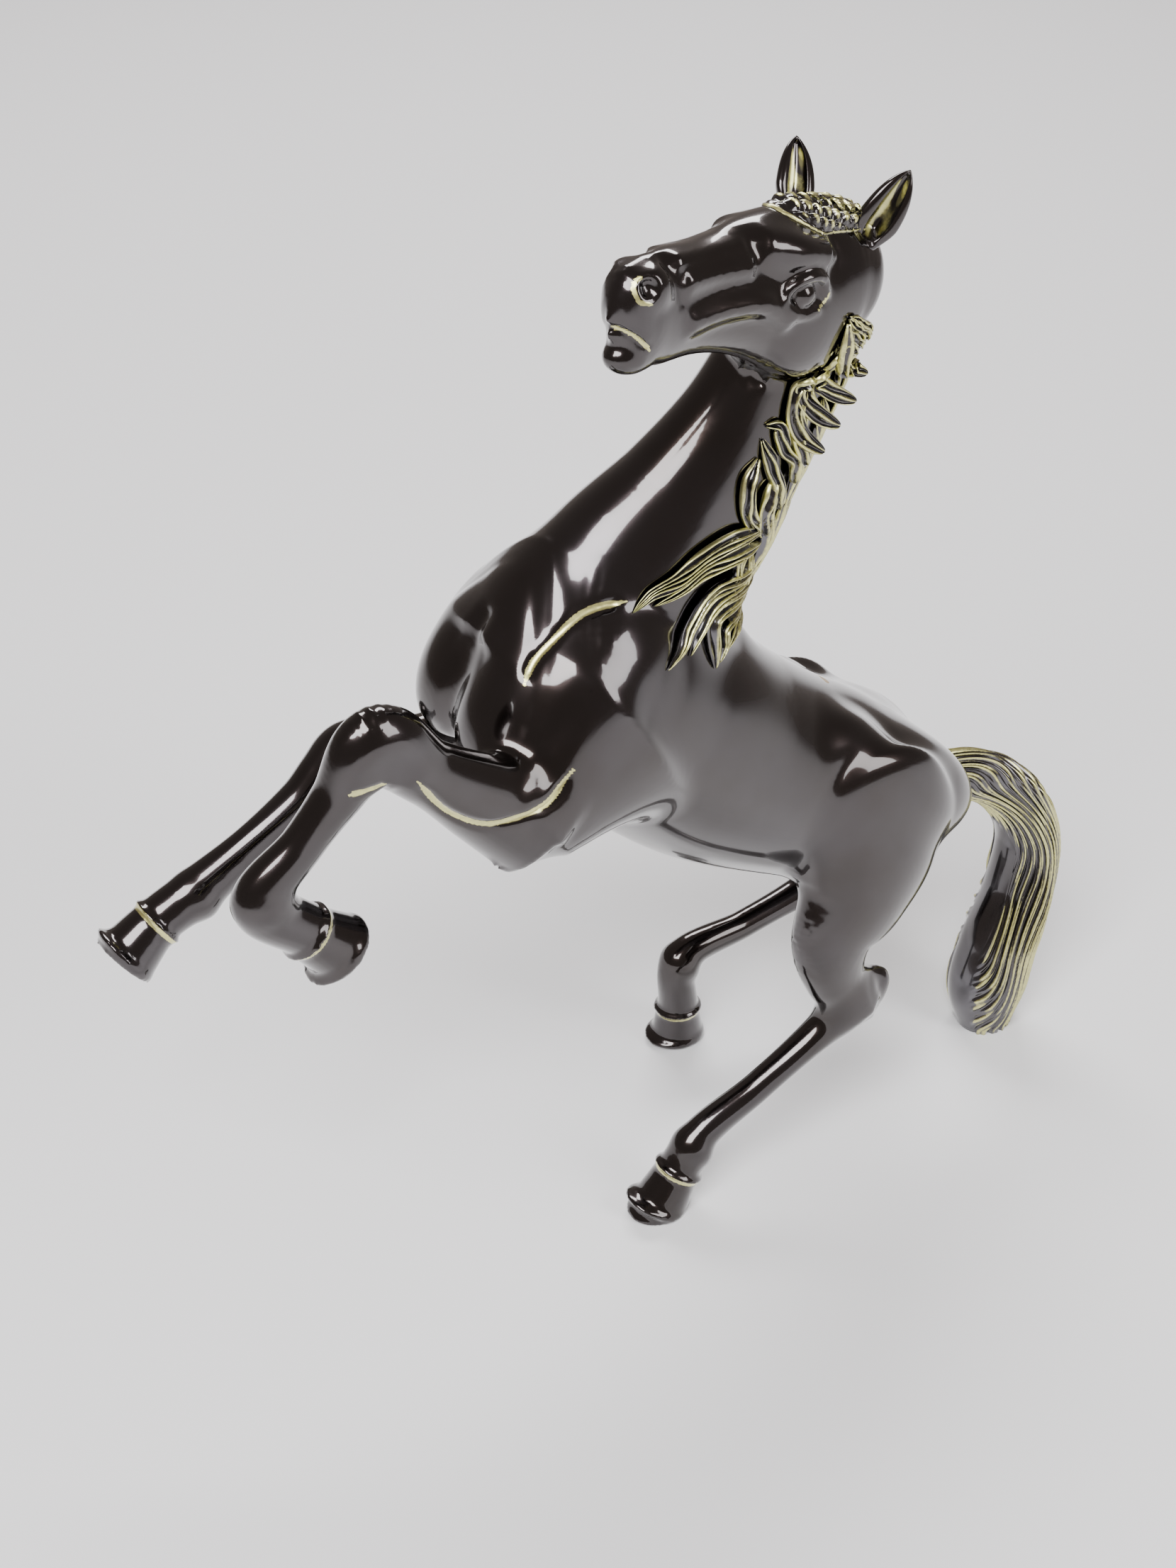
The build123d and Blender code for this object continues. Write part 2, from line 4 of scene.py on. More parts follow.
import bpy
import numpy as np
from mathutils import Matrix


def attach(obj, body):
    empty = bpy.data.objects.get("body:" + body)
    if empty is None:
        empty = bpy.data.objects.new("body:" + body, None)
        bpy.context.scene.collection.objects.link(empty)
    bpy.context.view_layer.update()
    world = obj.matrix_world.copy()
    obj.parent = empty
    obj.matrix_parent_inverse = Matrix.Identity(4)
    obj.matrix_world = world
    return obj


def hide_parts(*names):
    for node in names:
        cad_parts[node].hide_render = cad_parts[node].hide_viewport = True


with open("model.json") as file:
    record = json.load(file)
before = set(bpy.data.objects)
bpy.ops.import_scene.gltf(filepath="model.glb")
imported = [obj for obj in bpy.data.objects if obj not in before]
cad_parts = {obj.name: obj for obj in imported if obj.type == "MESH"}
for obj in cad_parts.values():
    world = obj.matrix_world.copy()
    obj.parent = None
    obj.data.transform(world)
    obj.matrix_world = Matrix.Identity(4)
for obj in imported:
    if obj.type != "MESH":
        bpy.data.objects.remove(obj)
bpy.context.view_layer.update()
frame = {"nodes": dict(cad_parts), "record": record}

import openvdb
from mathutils import Vector

# A cast bronze rearing horse. Its skin is sculpted as one smooth field, meshed once and then
# parted where the castings meet, so that the chased joints don't show. The sculpting is done in
# millimetres and every mesh is made in metres.
MM = 0.001

# ------------------------------------------------------------------ driving sizes, as the castings
trunk_pitch = math.radians(36.5)
trunk_length = 150.0
croup_x, croup_height = 78.0, 98.0
girth_half_width, girth_half_depth = 30.5, 31.5
neck_length = 100.0
neck_lean = math.radians(56.8)
neck_swing = 7.0
neck_half_depth, neck_half_width = 22.0, 15.5
head_length = 75.0
head_yaw, head_lift = math.radians(17.0), math.radians(13.5)
fore_cannon_half_width, hind_cannon_half_width = 4.8, 4.3
hoof_half_width, hoof_half_length = 8.0, 8.8
coronet_height = 12.5
hind_stance = 30.0
left_hock_height, right_hock_height = 51.0, 43.0
left_fetlock_height, right_fetlock_height = 19.0, 30.0
forearm_length = 57.0
left_fore_cannon_length, right_fore_cannon_length = 45.0, 53.0
left_pastern_length, right_pastern_length = 16.0, 11.0
fore_hoof_reach = 14.0
tail_drop_back = 26.0
tail_half_width = 10.5

VOXEL = 0.6  # of the skin's mesh
BAND = 2.4  # half thickness of the layer in which the field is worked out
FAR = 50.0  # the field's value away from every shape
CHUNK = 150000  # points worked out at a time
HOOF_REACH = 22.0  # round a sole, where the sole's plane trims the skin


def vec(*xyz):
    return np.array(xyz, float)


def unit(v):
    v = np.asarray(v, float)
    return v / np.maximum(np.linalg.norm(v, axis=-1, keepdims=True), 1e-9)


def smoothstep(low, high, x):
    t = np.clip((x - low) / (high - low), 0.0, 1.0)
    return t * t * (3 - 2 * t)


# ------------------------------------------------------------------ where things are
def trunk_point(along, above=0.0, side=0.0):
    """Ahead of the croup, above the trunk's centre line, to the right."""
    c, s = math.cos(trunk_pitch), math.sin(trunk_pitch)
    return vec(croup_x - along * c + above * s, side, croup_height + along * s + above * c)


trunk_axes = np.array([trunk_point(1) - trunk_point(0), [0, 1, 0], trunk_point(0, 1) - trunk_point(0)])
neck_root = trunk_point(0.836 * trunk_length, above=8.0)


def neck_point(share, ahead=0.0, left=0.0):
    """A share of the way up the neck, ahead of its straight line, to its left."""
    run = share * neck_length
    c, s = math.cos(neck_lean), math.sin(neck_lean)
    swing = -max(share, 0.0) * neck_swing
    return neck_root + vec(run * c - ahead * s, swing - left, run * s + ahead * c)


forward = vec(
    -math.cos(head_lift) * math.cos(head_yaw),
    -math.cos(head_lift) * math.sin(head_yaw),
    math.sin(head_lift),
)
leftward = vec(math.sin(head_yaw), -math.cos(head_yaw), 0.0)
upward = np.cross(forward, leftward)
upward *= np.sign(upward[2])
head_axes = np.array([forward, leftward, upward])
poll = neck_point(1.0) + vec(9.5, 0, 13.5)


def head_point(along, left=0.0, above=0.0):
    """In head lengths: ahead of the poll, to the head's left, above the nose line."""
    return poll + head_length * (along * forward + left * leftward + above * upward)


def swing(start, length, angle, side=0.0):
    a = math.radians(angle)
    return start + vec(-length * math.cos(a), side, length * math.sin(a))


def part_way(start, end, share, ahead=0.0):
    return start + (end - start) * share - vec(ahead, 0, 0)


# ------------------------------------------------------------------ smooth lines and tubes
def smooth_line(knots, spacing):
    """A smooth line through knots, with a point about every spacing, and each knot's place on it."""
    knots = np.asarray(knots, float)
    chord = np.maximum(np.linalg.norm(np.diff(knots[:, :3], axis=0), axis=1), 1e-3)
    slope = np.diff(knots, axis=0) / chord[:, None]
    tangent = np.empty_like(knots)
    tangent[0], tangent[-1] = slope[0], slope[-1]
    weight = (chord[1:] / (chord[:-1] + chord[1:]))[:, None]
    tangent[1:-1] = slope[:-1] * weight + slope[1:] * (1 - weight)
    out, marks = [], [0]
    for i, length in enumerate(chord):
        n = max(2, int(round(length / spacing)))
        t = (np.arange(n) / n)[:, None]
        h00, h10 = 2 * t**3 - 3 * t**2 + 1, t**3 - 2 * t**2 + t
        h01, h11 = -2 * t**3 + 3 * t**2, t**3 - t**2
        bend = h10 * tangent[i] + h11 * tangent[i + 1]
        out.append(h00 * knots[i] + h01 * knots[i + 1] + bend * length)
        marks.append(marks[-1] + n)
    out.append(knots[-1:])
    return np.concatenate(out), marks


def blend(a, b, k):
    """Smooth union of two distances over a width k."""
    h = np.clip(0.5 + 0.5 * (b - a) / k, 0, 1)
    return b + (a - b) * h - k * h * (1 - h)


class Tube:
    """Elliptical sections strung on a smooth line: a trunk, a neck, a limb or a groove."""

    def __init__(self, points, halves, across=(0, 1, 0), spacing=1.3, start=None, end=None):
        knots = np.hstack([np.array(points), np.array(halves, float)])
        line, self.marks = smooth_line(knots, spacing)
        self.centre, self.half = line[:, :3], np.maximum(line[:, 3:5], 0.25)
        self.tangent = unit(np.gradient(self.centre, axis=0))
        for tip, normal in ((0, start), (-1, end)):
            if normal is not None:
                self.tangent[tip] = normal
        across = np.asarray(across, float)
        self.x = unit(across - self.tangent * (self.tangent @ across)[:, None])
        self.y = np.cross(self.tangent, self.x)
        self.step = np.linalg.norm(np.gradient(self.centre, axis=0), axis=1)
        taper = np.gradient(self.half.mean(1)) / self.step
        self.lean = 1 / np.sqrt(1 + taper**2)
        reach = self.half.max(1)[:, None]
        self.low, self.high = (self.centre - reach).min(0), (self.centre + reach).max(0)

    def place(self, p):
        """For each point: its place along the samples, and its offset in the section."""
        d = (self.centre**2).sum(1) - 2 * (p @ self.centre.T)
        i = d.argmin(1)
        ahead = ((p - self.centre[i]) * self.tangent[i]).sum(1) / self.step[i]
        s = np.clip(i + ahead, 0, len(self.centre) - 1.001)
        over = np.abs(i + ahead - s) * self.step[i]
        lo = s.astype(int)
        w = (s - lo)[:, None]
        mix = lambda v: v[lo] * (1 - w) + v[lo + 1] * w
        r = p - mix(self.centre)
        half = mix(self.half)
        local = np.stack([(r * mix(self.x)).sum(1), (r * mix(self.y)).sum(1)], 1)
        return s, over, local, half, mix(self.lean[:, None])[:, 0]

    def distance(self, p):
        _, over, local, half, lean = self.place(p)
        k0 = np.sqrt(((local / half) ** 2).sum(1))
        k1 = np.sqrt(((local / half**2) ** 2).sum(1))
        radial = k0 * (k0 - 1) / np.maximum(k1, 1e-6) * lean
        return np.where(over > 0, np.hypot(np.maximum(radial, 0), over) + np.minimum(radial, 0), radial)


class Ball:
    """An ellipsoid with its own axes: a muscle, a bone under the skin or a hollow."""

    def __init__(self, centre, radii, axes=np.eye(3)):
        self.centre, self.radii, self.axes = np.asarray(centre), np.asarray(radii, float), axes
        reach = np.sqrt(((self.axes * self.radii[:, None]) ** 2).sum(0))
        self.low, self.high = self.centre - reach, self.centre + reach

    def distance(self, p):
        q = (p - self.centre) @ self.axes.T
        k0 = np.sqrt(((q / self.radii) ** 2).sum(1))
        k1 = np.sqrt(((q / self.radii**2) ** 2).sum(1))
        return k0 * (k0 - 1) / np.maximum(k1, 1e-6)


# ------------------------------------------------------------------ the limbs
trunk_table = [
    (-0.138, 3.0, 0.10, 0.10),
    (-0.122, 2.6, 0.30, 0.28),
    (-0.080, 1.7, 0.54, 0.50),
    (0.0, 0.0, 0.76, 0.71),
    (0.134, -3.1, 0.89, 0.87),
    (0.287, -5.7, 0.96, 0.93),
    (0.457, -6.6, 0.99, 0.99),
    (0.654, -3.6, 1.03, 1.00),
    (0.834, -2.4, 1.07, 0.94),
    (0.950, -2.1, 0.93, 0.77),
    (1.000, -3.5, 0.60, 0.52),
    (1.020, -4.0, 0.20, 0.18),
]
trunk_points = [trunk_point(share * trunk_length, above) for share, above, _, _ in trunk_table]
trunk = Tube(trunk_points, [(a * girth_half_width, b * girth_half_depth) for _, _, a, b in trunk_table])
flank_joint, girth_joint = 4, 7  # stations where the trunk castings meet

neck_table = [
    (-0.06, 0.0, 1.62, 1.55),
    (0.0, 0.0, 1.56, 1.50),
    (0.22, -1.2, 1.28, 1.27),
    (0.44, -4.2, 1.02, 1.02),
    (0.66, -5.5, 0.85, 0.85),
    (0.86, -3.6, 0.77, 0.76),
    (1.00, -1.0, 0.71, 0.66),
]
neck = Tube(
    [neck_point(share, ahead) for share, ahead, _, _ in neck_table],
    [(a * neck_half_width, b * neck_half_depth) for _, _, a, b in neck_table],
)

# ahead of the poll, centre below the nose line, half width, half depth, in head lengths
head_table = [
    (-0.10, 0.17, 0.07, 0.09),
    (-0.05, 0.16, 0.15, 0.16),
    (0.06, 0.15, 0.18, 0.225),
    (0.20, 0.18, 0.165, 0.265),
    (0.35, 0.160, 0.150, 0.245),
    (0.52, 0.158, 0.115, 0.202),
    (0.70, 0.172, 0.088, 0.172),
    (0.86, 0.190, 0.086, 0.172),
    (0.95, 0.203, 0.087, 0.160),
    (1.00, 0.215, 0.076, 0.138),
    (1.03, 0.225, 0.045, 0.085),
]
head = Tube(
    [head_point(along, above=-below) for along, below, _, _ in head_table],
    [(a * head_length, b * head_length) for _, _, a, b in head_table],
    across=leftward,
)


def hind_leg(side, hock_x, hock_height, fetlock_x, fetlock_height, sole_x, bow):
    y = side * hind_stance
    hip = trunk_point(15.0, above=-1.0, side=0.48 * y)
    hock = vec(hock_x, y, hock_height)
    fetlock = vec(fetlock_x, y, fetlock_height)
    coronet = part_way(vec(sole_x, y, 0), fetlock, coronet_height / fetlock_height)
    thigh = [
        (0.0, 0.0, 0.0, 16.0, 25.0),
        (0.18, 0.28, 0.40, 15.0, 24.0),
        (0.36, 0.60, 0.70, 12.0, 19.5),
        (0.56, 0.95, 0.90, 8.5, 13.5),
        (0.77, 0.74, 0.96, 6.8, 9.6),
    ]
    points, halves = [], []
    for down, out, aside, half_width, half_depth in thigh:
        point = part_way(hip, hock, down, ahead=bow * out)
        point[1] = hip[1] + (y - hip[1]) * aside
        points.append(point)
        halves.append((half_width, half_depth))
    points += [hock, part_way(hock, fetlock, 0.24), part_way(hock, fetlock, 0.6), fetlock, coronet]
    thin = hind_cannon_half_width
    halves += [(5.8, 9.0), (1.15 * thin, 1.25 * thin), (thin, 1.1 * thin)]
    halves += [(1.25 * thin, 1.4 * thin), (1.45 * thin, 1.5 * thin)]
    points += [vec(sole_x, y, 0)]
    halves += [(hoof_half_width, hoof_half_length)]
    return points, halves, vec(0, 0, -1)


def fore_leg(side, root_along, lengths, angles):
    arm, cannon, pastern = lengths
    elbow_angle, knee_angle, cannon_angle, pastern_angle, hoof_angle = angles
    root = trunk_point(root_along, above=-6.0, side=side * 20.0)
    elbow = swing(root, arm, elbow_angle, side=side * 7.0)
    knee = swing(elbow, forearm_length, knee_angle, side=side * 3.0)
    fetlock = swing(knee, cannon, cannon_angle, side=-side * 1.5)
    coronet = swing(fetlock, pastern, pastern_angle, side=-side * 0.5)
    ground = swing(coronet, fore_hoof_reach, hoof_angle, side=-side * 1.0)
    thin = fore_cannon_half_width
    points = [root, part_way(root, elbow, 0.5), elbow]
    halves = [(15.0, 26.0), (12.5, 21.0), (9.5, 14.0)]
    points += [part_way(elbow, knee, share) for share in (0.35, 0.69)]
    halves += [(8.0, 11.0), (1.45 * thin, 1.7 * thin)]
    points += [knee, part_way(knee, fetlock, 0.33), part_way(knee, fetlock, 0.62), fetlock, coronet]
    halves += [(1.4 * thin, 2.0 * thin), (1.15 * thin, 1.25 * thin), (thin, 1.1 * thin)]
    halves += [(1.25 * thin, 1.45 * thin), (1.3 * thin, 1.4 * thin)]
    points += [ground]
    halves += [(hoof_half_width, hoof_half_length)]
    return points, halves, unit(ground - coronet)


left, right = -1, 1
leg_shapes = {
    "left_fore": fore_leg(
        left,
        root_along=0.82 * trunk_length,
        lengths=(29.0, left_fore_cannon_length, left_pastern_length),
        angles=(-30.0, 43.0, -48.7, -128.0, -132.0),
    ),
    "right_fore": fore_leg(
        right,
        root_along=0.66 * trunk_length,
        lengths=(17.0, right_fore_cannon_length, right_pastern_length),
        angles=(-50.0, 5.5, -29.2, -22.0, -36.0),
    ),
    "left_hind": hind_leg(
        left,
        hock_x=croup_x - 24.0,
        hock_height=left_hock_height,
        fetlock_x=croup_x - 79.5,
        fetlock_height=left_fetlock_height,
        sole_x=croup_x - 90.5,
        bow=15.0,
    ),
    "right_hind": hind_leg(
        right,
        hock_x=croup_x + 13.0,
        hock_height=right_hock_height,
        fetlock_x=croup_x - 46.5,
        fetlock_height=right_fetlock_height,
        sole_x=croup_x - 46.5,
        bow=5.0,
    ),
}
knee_station, fetlock_station, coronet_station = 5, 8, 9
LIMB_SPACING = 0.9  # between the samples of a limb's line
legs = {
    name: Tube(points, halves, end=end, spacing=LIMB_SPACING) for name, (points, halves, end) in leg_shapes.items()
}


def leg_frame(name, station):
    """Place, and axes (down the leg, outwards, to the front), of a leg at one of its stations."""
    points = leg_shapes[name][0]
    down = unit(points[min(station + 1, len(points) - 1)] - points[station - 1])
    out = unit(vec(0, left if name.startswith("left") else right, 0) - down * 0)
    out = unit(out - down * (out @ down))
    front = unit(np.cross(out, down))
    if front[0] > 0:
        front = -front
    return points[station], np.array([down, out, front])


# ------------------------------------------------------------------ the sculpted field
def trunk_ball(along, above, side, radii):
    return Ball(trunk_point(along, above, side), radii, trunk_axes)


def head_ball(along, side, above, radii):
    return Ball(head_point(along, side, above), head_length * np.array(radii, float), head_axes)


def head_line(rows, across=upward):
    """A line of the face: along, side, above and its radius, in head lengths."""
    points = [head_point(a, s, u) for a, s, u, _ in rows]
    halves = [(r * head_length, r * head_length) for _, _, _, r in rows]
    return Tube(points, halves, across=across, spacing=0.6)


def strokes():
    """What is added to (+1) and cut from (-1) the skin, with the width of each blend."""
    work = [(1, trunk, 0.1), (1, neck, 9.0), (1, head, 4.0)]
    for name, (points, halves, end) in leg_shapes.items():
        bend, soft = (5, 7.0) if "hind" in name else (2, 9.0)  # the hock or the elbow
        upper = Tube(points[: bend + 1], halves[: bend + 1], spacing=LIMB_SPACING)
        lower = Tube(points[bend:], halves[bend:], end=end, spacing=LIMB_SPACING)
        work += [(1, upper, soft), (1, lower, 6.0)]
    for s in (left, right):
        work += [
            (1, trunk_ball(132, -1, s * 21, (15, 9, 22)), 7),  # shoulder
            (1, trunk_ball(145, -12, s * 11, (12, 12, 18)), 9),  # breast
            (1, trunk_ball(8, 9, s * 14, (26, 14, 14)), 7),  # croup
            (1, trunk_ball(42, 13, s * 18, (10, 5.5, 7)), 9),  # point of the hip
            (1, trunk_ball(24, 0, s * 26, (20, 6, 22)), 7),  # thigh
        ]
    work += [
        (1, trunk_ball(110, 24, 0, (24, 7, 8)), 8),  # withers
        (-1, Tube([trunk_point(160, 4), trunk_point(159, -14), trunk_point(148, -32)],
                  [(0.5, 0.5), (1.7, 1.7), (0.6, 0.6)]), 5),  # furrow of the breast
    ]
    for name in legs:
        fore = "fore" in name
        at, axes = leg_frame(name, fetlock_station)
        work.append((1, Ball(at - axes[2] * 1.2, (4.2, 5.6, 6.6), axes), 3))
        at, axes = leg_frame(name, knee_station)
        if fore:
            work.append((1, Ball(at + axes[2] * 3.0, (7.5, 6.4, 6.0), axes), 4))
            work.append((-1, Ball(at + axes[2] * 4.0 + axes[1] * 9.0, (9.0, 3.0, 6.0), axes), 3))
        else:
            work.append((1, Ball(at - axes[2] * 5.4 - axes[0] * 3.5, (5.5, 3.2, 4.0), axes), 6))
            hollow = at - axes[2] * 5.0 - axes[0] * 13.0 + axes[1] * 5.5
            work.append((-1, Ball(hollow, (9, 2.6, 3.2), axes), 3))
        at, axes = leg_frame(name, coronet_station)
        work.append((1, Ball(at + axes[0] * 0.8, (1.9, 7.4, 7.9), axes), 1.0))
        sole = leg_shapes[name][0][-1]
        ground = sole - leg_shapes[name][2] * 1.6
        work.append((1, Ball(ground + axes[2] * 1.2, (2.0, 8.3, 9.6), axes), 1.4))
    for s in (-1, 1):
        work += [
            (1, head_ball(0.21, s * 0.085, -0.24, (0.19, 0.085, 0.185)), 3),  # jowl
            (1, head_line([(0.40, s * 0.128, -0.215, 0.020), (0.52, s * 0.120, -0.170, 0.024),
                           (0.64, s * 0.098, -0.178, 0.022), (0.78, s * 0.076, -0.215, 0.016)]), 4.5),
            (1, head_line([(0.50, s * 0.080, -0.01, 0.035), (0.40, s * 0.118, -0.02, 0.045),
                           (0.28, s * 0.135, -0.03, 0.040)]), 4),  # brow
            (-1, head_ball(0.350, s * 0.190, -0.143, (0.076, 0.024, 0.058)), 2.2),  # eye socket
            (1, head_ball(0.350, s * 0.132, -0.145, (0.046, 0.046, 0.042)), 0.4),  # eyeball
            (1, head_line([(0.445, s * 0.134, -0.160, 0.010), (0.405, s * 0.152, -0.108, 0.015),
                           (0.350, s * 0.166, -0.086, 0.017), (0.285, s * 0.168, -0.104, 0.014),
                           (0.262, s * 0.164, -0.150, 0.010)]), 1.6),
            (1, head_line([(0.435, s * 0.134, -0.165, 0.010), (0.395, s * 0.146, -0.196, 0.012),
                           (0.345, s * 0.154, -0.206, 0.012), (0.290, s * 0.160, -0.190, 0.010)]), 1.8),
            (1, head_ball(0.955, s * 0.052, -0.115, (0.070, 0.046, 0.062)), 2),  # nostril wing
            (-1, head_ball(1.002, s * 0.088, -0.106, (0.026, 0.042, 0.032)), 0.9),  # nostril
            (-1, head_line([(0.915, s * 0.030, -0.02, 0.008), (0.900, s * 0.085, -0.075, 0.013),
                            (0.850, s * 0.100, -0.16, 0.010)]), 1.8),  # fold behind the nostril
            (-1, head_line([(1.06, s * 0.0, -0.232, 0.012), (1.03, s * 0.045, -0.250, 0.013),
                            (0.96, s * 0.085, -0.287, 0.010)]), 0.8),  # mouth
            (1, head_line([(0.86, s * 0.050, -0.045, 0.010), (0.72, s * 0.048, -0.032, 0.012),
                           (0.60, s * 0.055, -0.020, 0.016)]), 3.5),  # edge of the nose bone
            (1, head_line([(0.82, s * 0.070, -0.100, 0.014), (0.70, s * 0.076, -0.080, 0.016),
                           (0.58, s * 0.094, -0.065, 0.014)]), 3.5),
        ]
    work += [
        (1, head_ball(0.955, 0, -0.325, (0.082, 0.060, 0.052)), 2.0),  # chin and lower lip
        (1, head_ball(0.985, 0, -0.165, (0.060, 0.070, 0.080)), 2.5),  # upper lip
        (1, head_ball(0.42, 0, -0.02, (0.15, 0.10, 0.065)), 5),  # forehead
        (-1, head_line([(0.30, 0, -0.46, 0.03), (0.55, 0, -0.385, 0.028), (0.78, 0, -0.375, 0.010)]), 3),
    ]
    return work


work = strokes()


def field(p):
    """Distance outside the skin, near it, for points in millimetres."""
    p = np.asarray(p, np.float32)
    out = np.full(len(p), FAR, np.float32)
    for sign, shape, k in work:
        pad = k + 2 * BAND
        near = np.flatnonzero(((p > shape.low - pad) & (p < shape.high + pad)).all(1))
        for start in range(0, len(near), CHUNK):
            at = near[start : start + CHUNK]
            d = shape.distance(p[at])
            out[at] = blend(out[at], d, k) if sign > 0 else -blend(-out[at], d, k)
    soles = -p[:, 2]
    out = np.maximum(out, soles)
    for name in ("left_fore", "right_fore"):
        ground, normal = leg_shapes[name][0][-1], leg_shapes[name][2]
        beyond = (p - ground.astype(np.float32)) @ normal
        near = np.linalg.norm(p - ground, axis=1) < HOOF_REACH
        out = np.where(near, np.maximum(out, beyond), out)
    return out


def skin_mesh():
    """The skin as vertices and quads."""
    low = np.array([-152.0, -44.0, -3.0])
    high = np.array([118.0, 44.0, 300.0])
    coarse = 4 * VOXEL
    counts = np.ceil((high - low) / coarse).astype(int)
    axes = [low[i] + coarse * (np.arange(counts[i]) + 0.5) for i in range(3)]
    cells = np.stack(np.meshgrid(*axes, indexing="ij"), -1).reshape(-1, 3)
    rough = field(cells).reshape(counts)
    near = np.abs(rough) < BAND + coarse
    fine = np.where(rough < 0, -BAND, BAND).astype(np.float32)
    fine = fine.repeat(4, 0).repeat(4, 1).repeat(4, 2)
    block = np.stack(np.meshgrid(*[np.arange(4)] * 3, indexing="ij"), -1).reshape(-1, 3)
    index = (np.argwhere(near)[:, None, :] * 4 + block[None]).reshape(-1, 3)
    values = np.clip(field(low + VOXEL * (index + 0.5)), -BAND, BAND)
    fine[index[:, 0], index[:, 1], index[:, 2]] = values
    grid = openvdb.FloatGrid(BAND)
    grid.copyFromArray(fine)
    points, quads = grid.convertToQuads(isovalue=0.0)
    return points.astype(float) * VOXEL + low + VOXEL / 2, quads.astype(int)


def gradient(p, reach=0.5):
    """Outward direction of the skin at points near it."""
    steps = np.eye(3) * reach
    slope = [field(p + step) - field(p - step) for step in steps]
    return unit(np.stack(slope, 1))


def onto_skin(p, lift=0.0, rounds=6, stride=2.5):
    """Points moved on to the skin, then lifted off it, and the skin's direction there."""
    p = np.array(p, float)
    for _ in range(rounds):
        p -= gradient(p) * np.clip(field(p), -stride, stride)[:, None] * 0.8
    normal = gradient(p)
    return p + normal * np.reshape(lift, (-1, 1)), normal



# ------------------------------------------------------------------ meshes
def relaxed(points, quads, rounds, fine_rounds):
    """Points evened out against their neighbours without shrinking the shape, less on the face."""
    fine = (np.linalg.norm(points - head_point(0.5, 0, -0.18), axis=1) < 0.75 * head_length)[:, None]
    edges = np.concatenate([quads[:, [i, (i + 1) % 4]] for i in range(4)])
    count = np.bincount(edges[:, 0], minlength=len(points))[:, None]
    for turn in range(2 * rounds):
        total = np.stack([np.bincount(edges[:, 0], points[edges[:, 1], i], len(points)) for i in range(3)], 1)
        share = np.where(fine & (turn >= 2 * fine_rounds), 0.0, 0.6 if turn % 2 == 0 else -0.61)
        points = points + (total / count - points) * share
    return points


def vertex_normals(points, quads):
    face = np.cross(points[quads[:, 2]] - points[quads[:, 0]], points[quads[:, 3]] - points[quads[:, 1]])
    total = np.zeros_like(points)
    for corner in range(4):
        for i in range(3):
            total[:, i] += np.bincount(quads[:, corner], face[:, i], len(points))
    return unit(total)


def mesh_object(name, points, faces, normals=None, **values):
    """An object from millimetre points and faces that all have one number of corners."""
    mesh = bpy.data.meshes.new(name)
    corners = faces.shape[1]
    mesh.vertices.add(len(points))
    mesh.vertices.foreach_set("co", (points * MM).astype(np.float32).ravel())
    mesh.loops.add(faces.size)
    mesh.loops.foreach_set("vertex_index", faces.astype(np.int32).ravel())
    mesh.polygons.add(len(faces))
    mesh.polygons.foreach_set("loop_start", np.arange(0, faces.size, corners, dtype=np.int32))
    mesh.update(calc_edges=True)
    mesh.validate()
    mesh.polygons.foreach_set("use_smooth", np.ones(len(mesh.polygons), bool))
    for key, value in values.items():
        layer = mesh.attributes.new(key, "FLOAT", "POINT")
        layer.data.foreach_set("value", np.asarray(value, np.float32))
    if normals is not None:
        mesh.normals_split_custom_set_from_vertices(normals.astype(np.float32))
    obj = bpy.data.objects.new(name, mesh)
    bpy.context.scene.collection.objects.link(obj)
    return obj


# ------------------------------------------------------------------ rubbed gold lines
def trunk_line(rows, width, deep):
    """A line on the body: along, above and to the near side, with its half width and depth."""
    return [trunk_point(along, above, -side) for along, above, side in rows], width, deep


def face_line(rows, width, deep):
    """A line on the face, in head lengths."""
    return [head_point(*row) for row in rows], width, deep


gilt_lines = [
    # crease of the shoulder
    trunk_line(
        [(140, 25, 19.7), (147.5, 18.8, 18.2), (152, 9.7, 18.5), (153.5, 1.6, 18.5), (153.5, -3, 20)], 0.9, 0.9
    ),
    # under the forearm, then under the knee
    trunk_line(
        [(180, -28.7, 36), (165, -34.3, 34.7), (154.5, -33.7, 35.7), (149, -30.4, 36.1), (141, -24.1, 33.4),
         (139, -14.2, 33.9)],
        0.8,
        0.8,
    ),
    trunk_line([(194, -37, 35.3), (186.7, -32, 35.1)], 0.7, 0.4),
    # mouth, front of the nostril, back corner of the eye
    face_line(
        [(1.055, 0.0, -0.232), (1.035, 0.045, -0.246), (0.99, 0.075, -0.272), (0.945, 0.085, -0.290)], 0.55, 0.5
    ),
    face_line(
        [(1.010, 0.055, -0.066), (1.036, 0.048, -0.100), (1.022, 0.070, -0.143), (0.985, 0.088, -0.146)], 0.5, 0.0
    ),
    face_line([(0.300, 0.172, -0.190), (0.270, 0.172, -0.165), (0.262, 0.170, -0.130)], 0.4, 0.0),
]


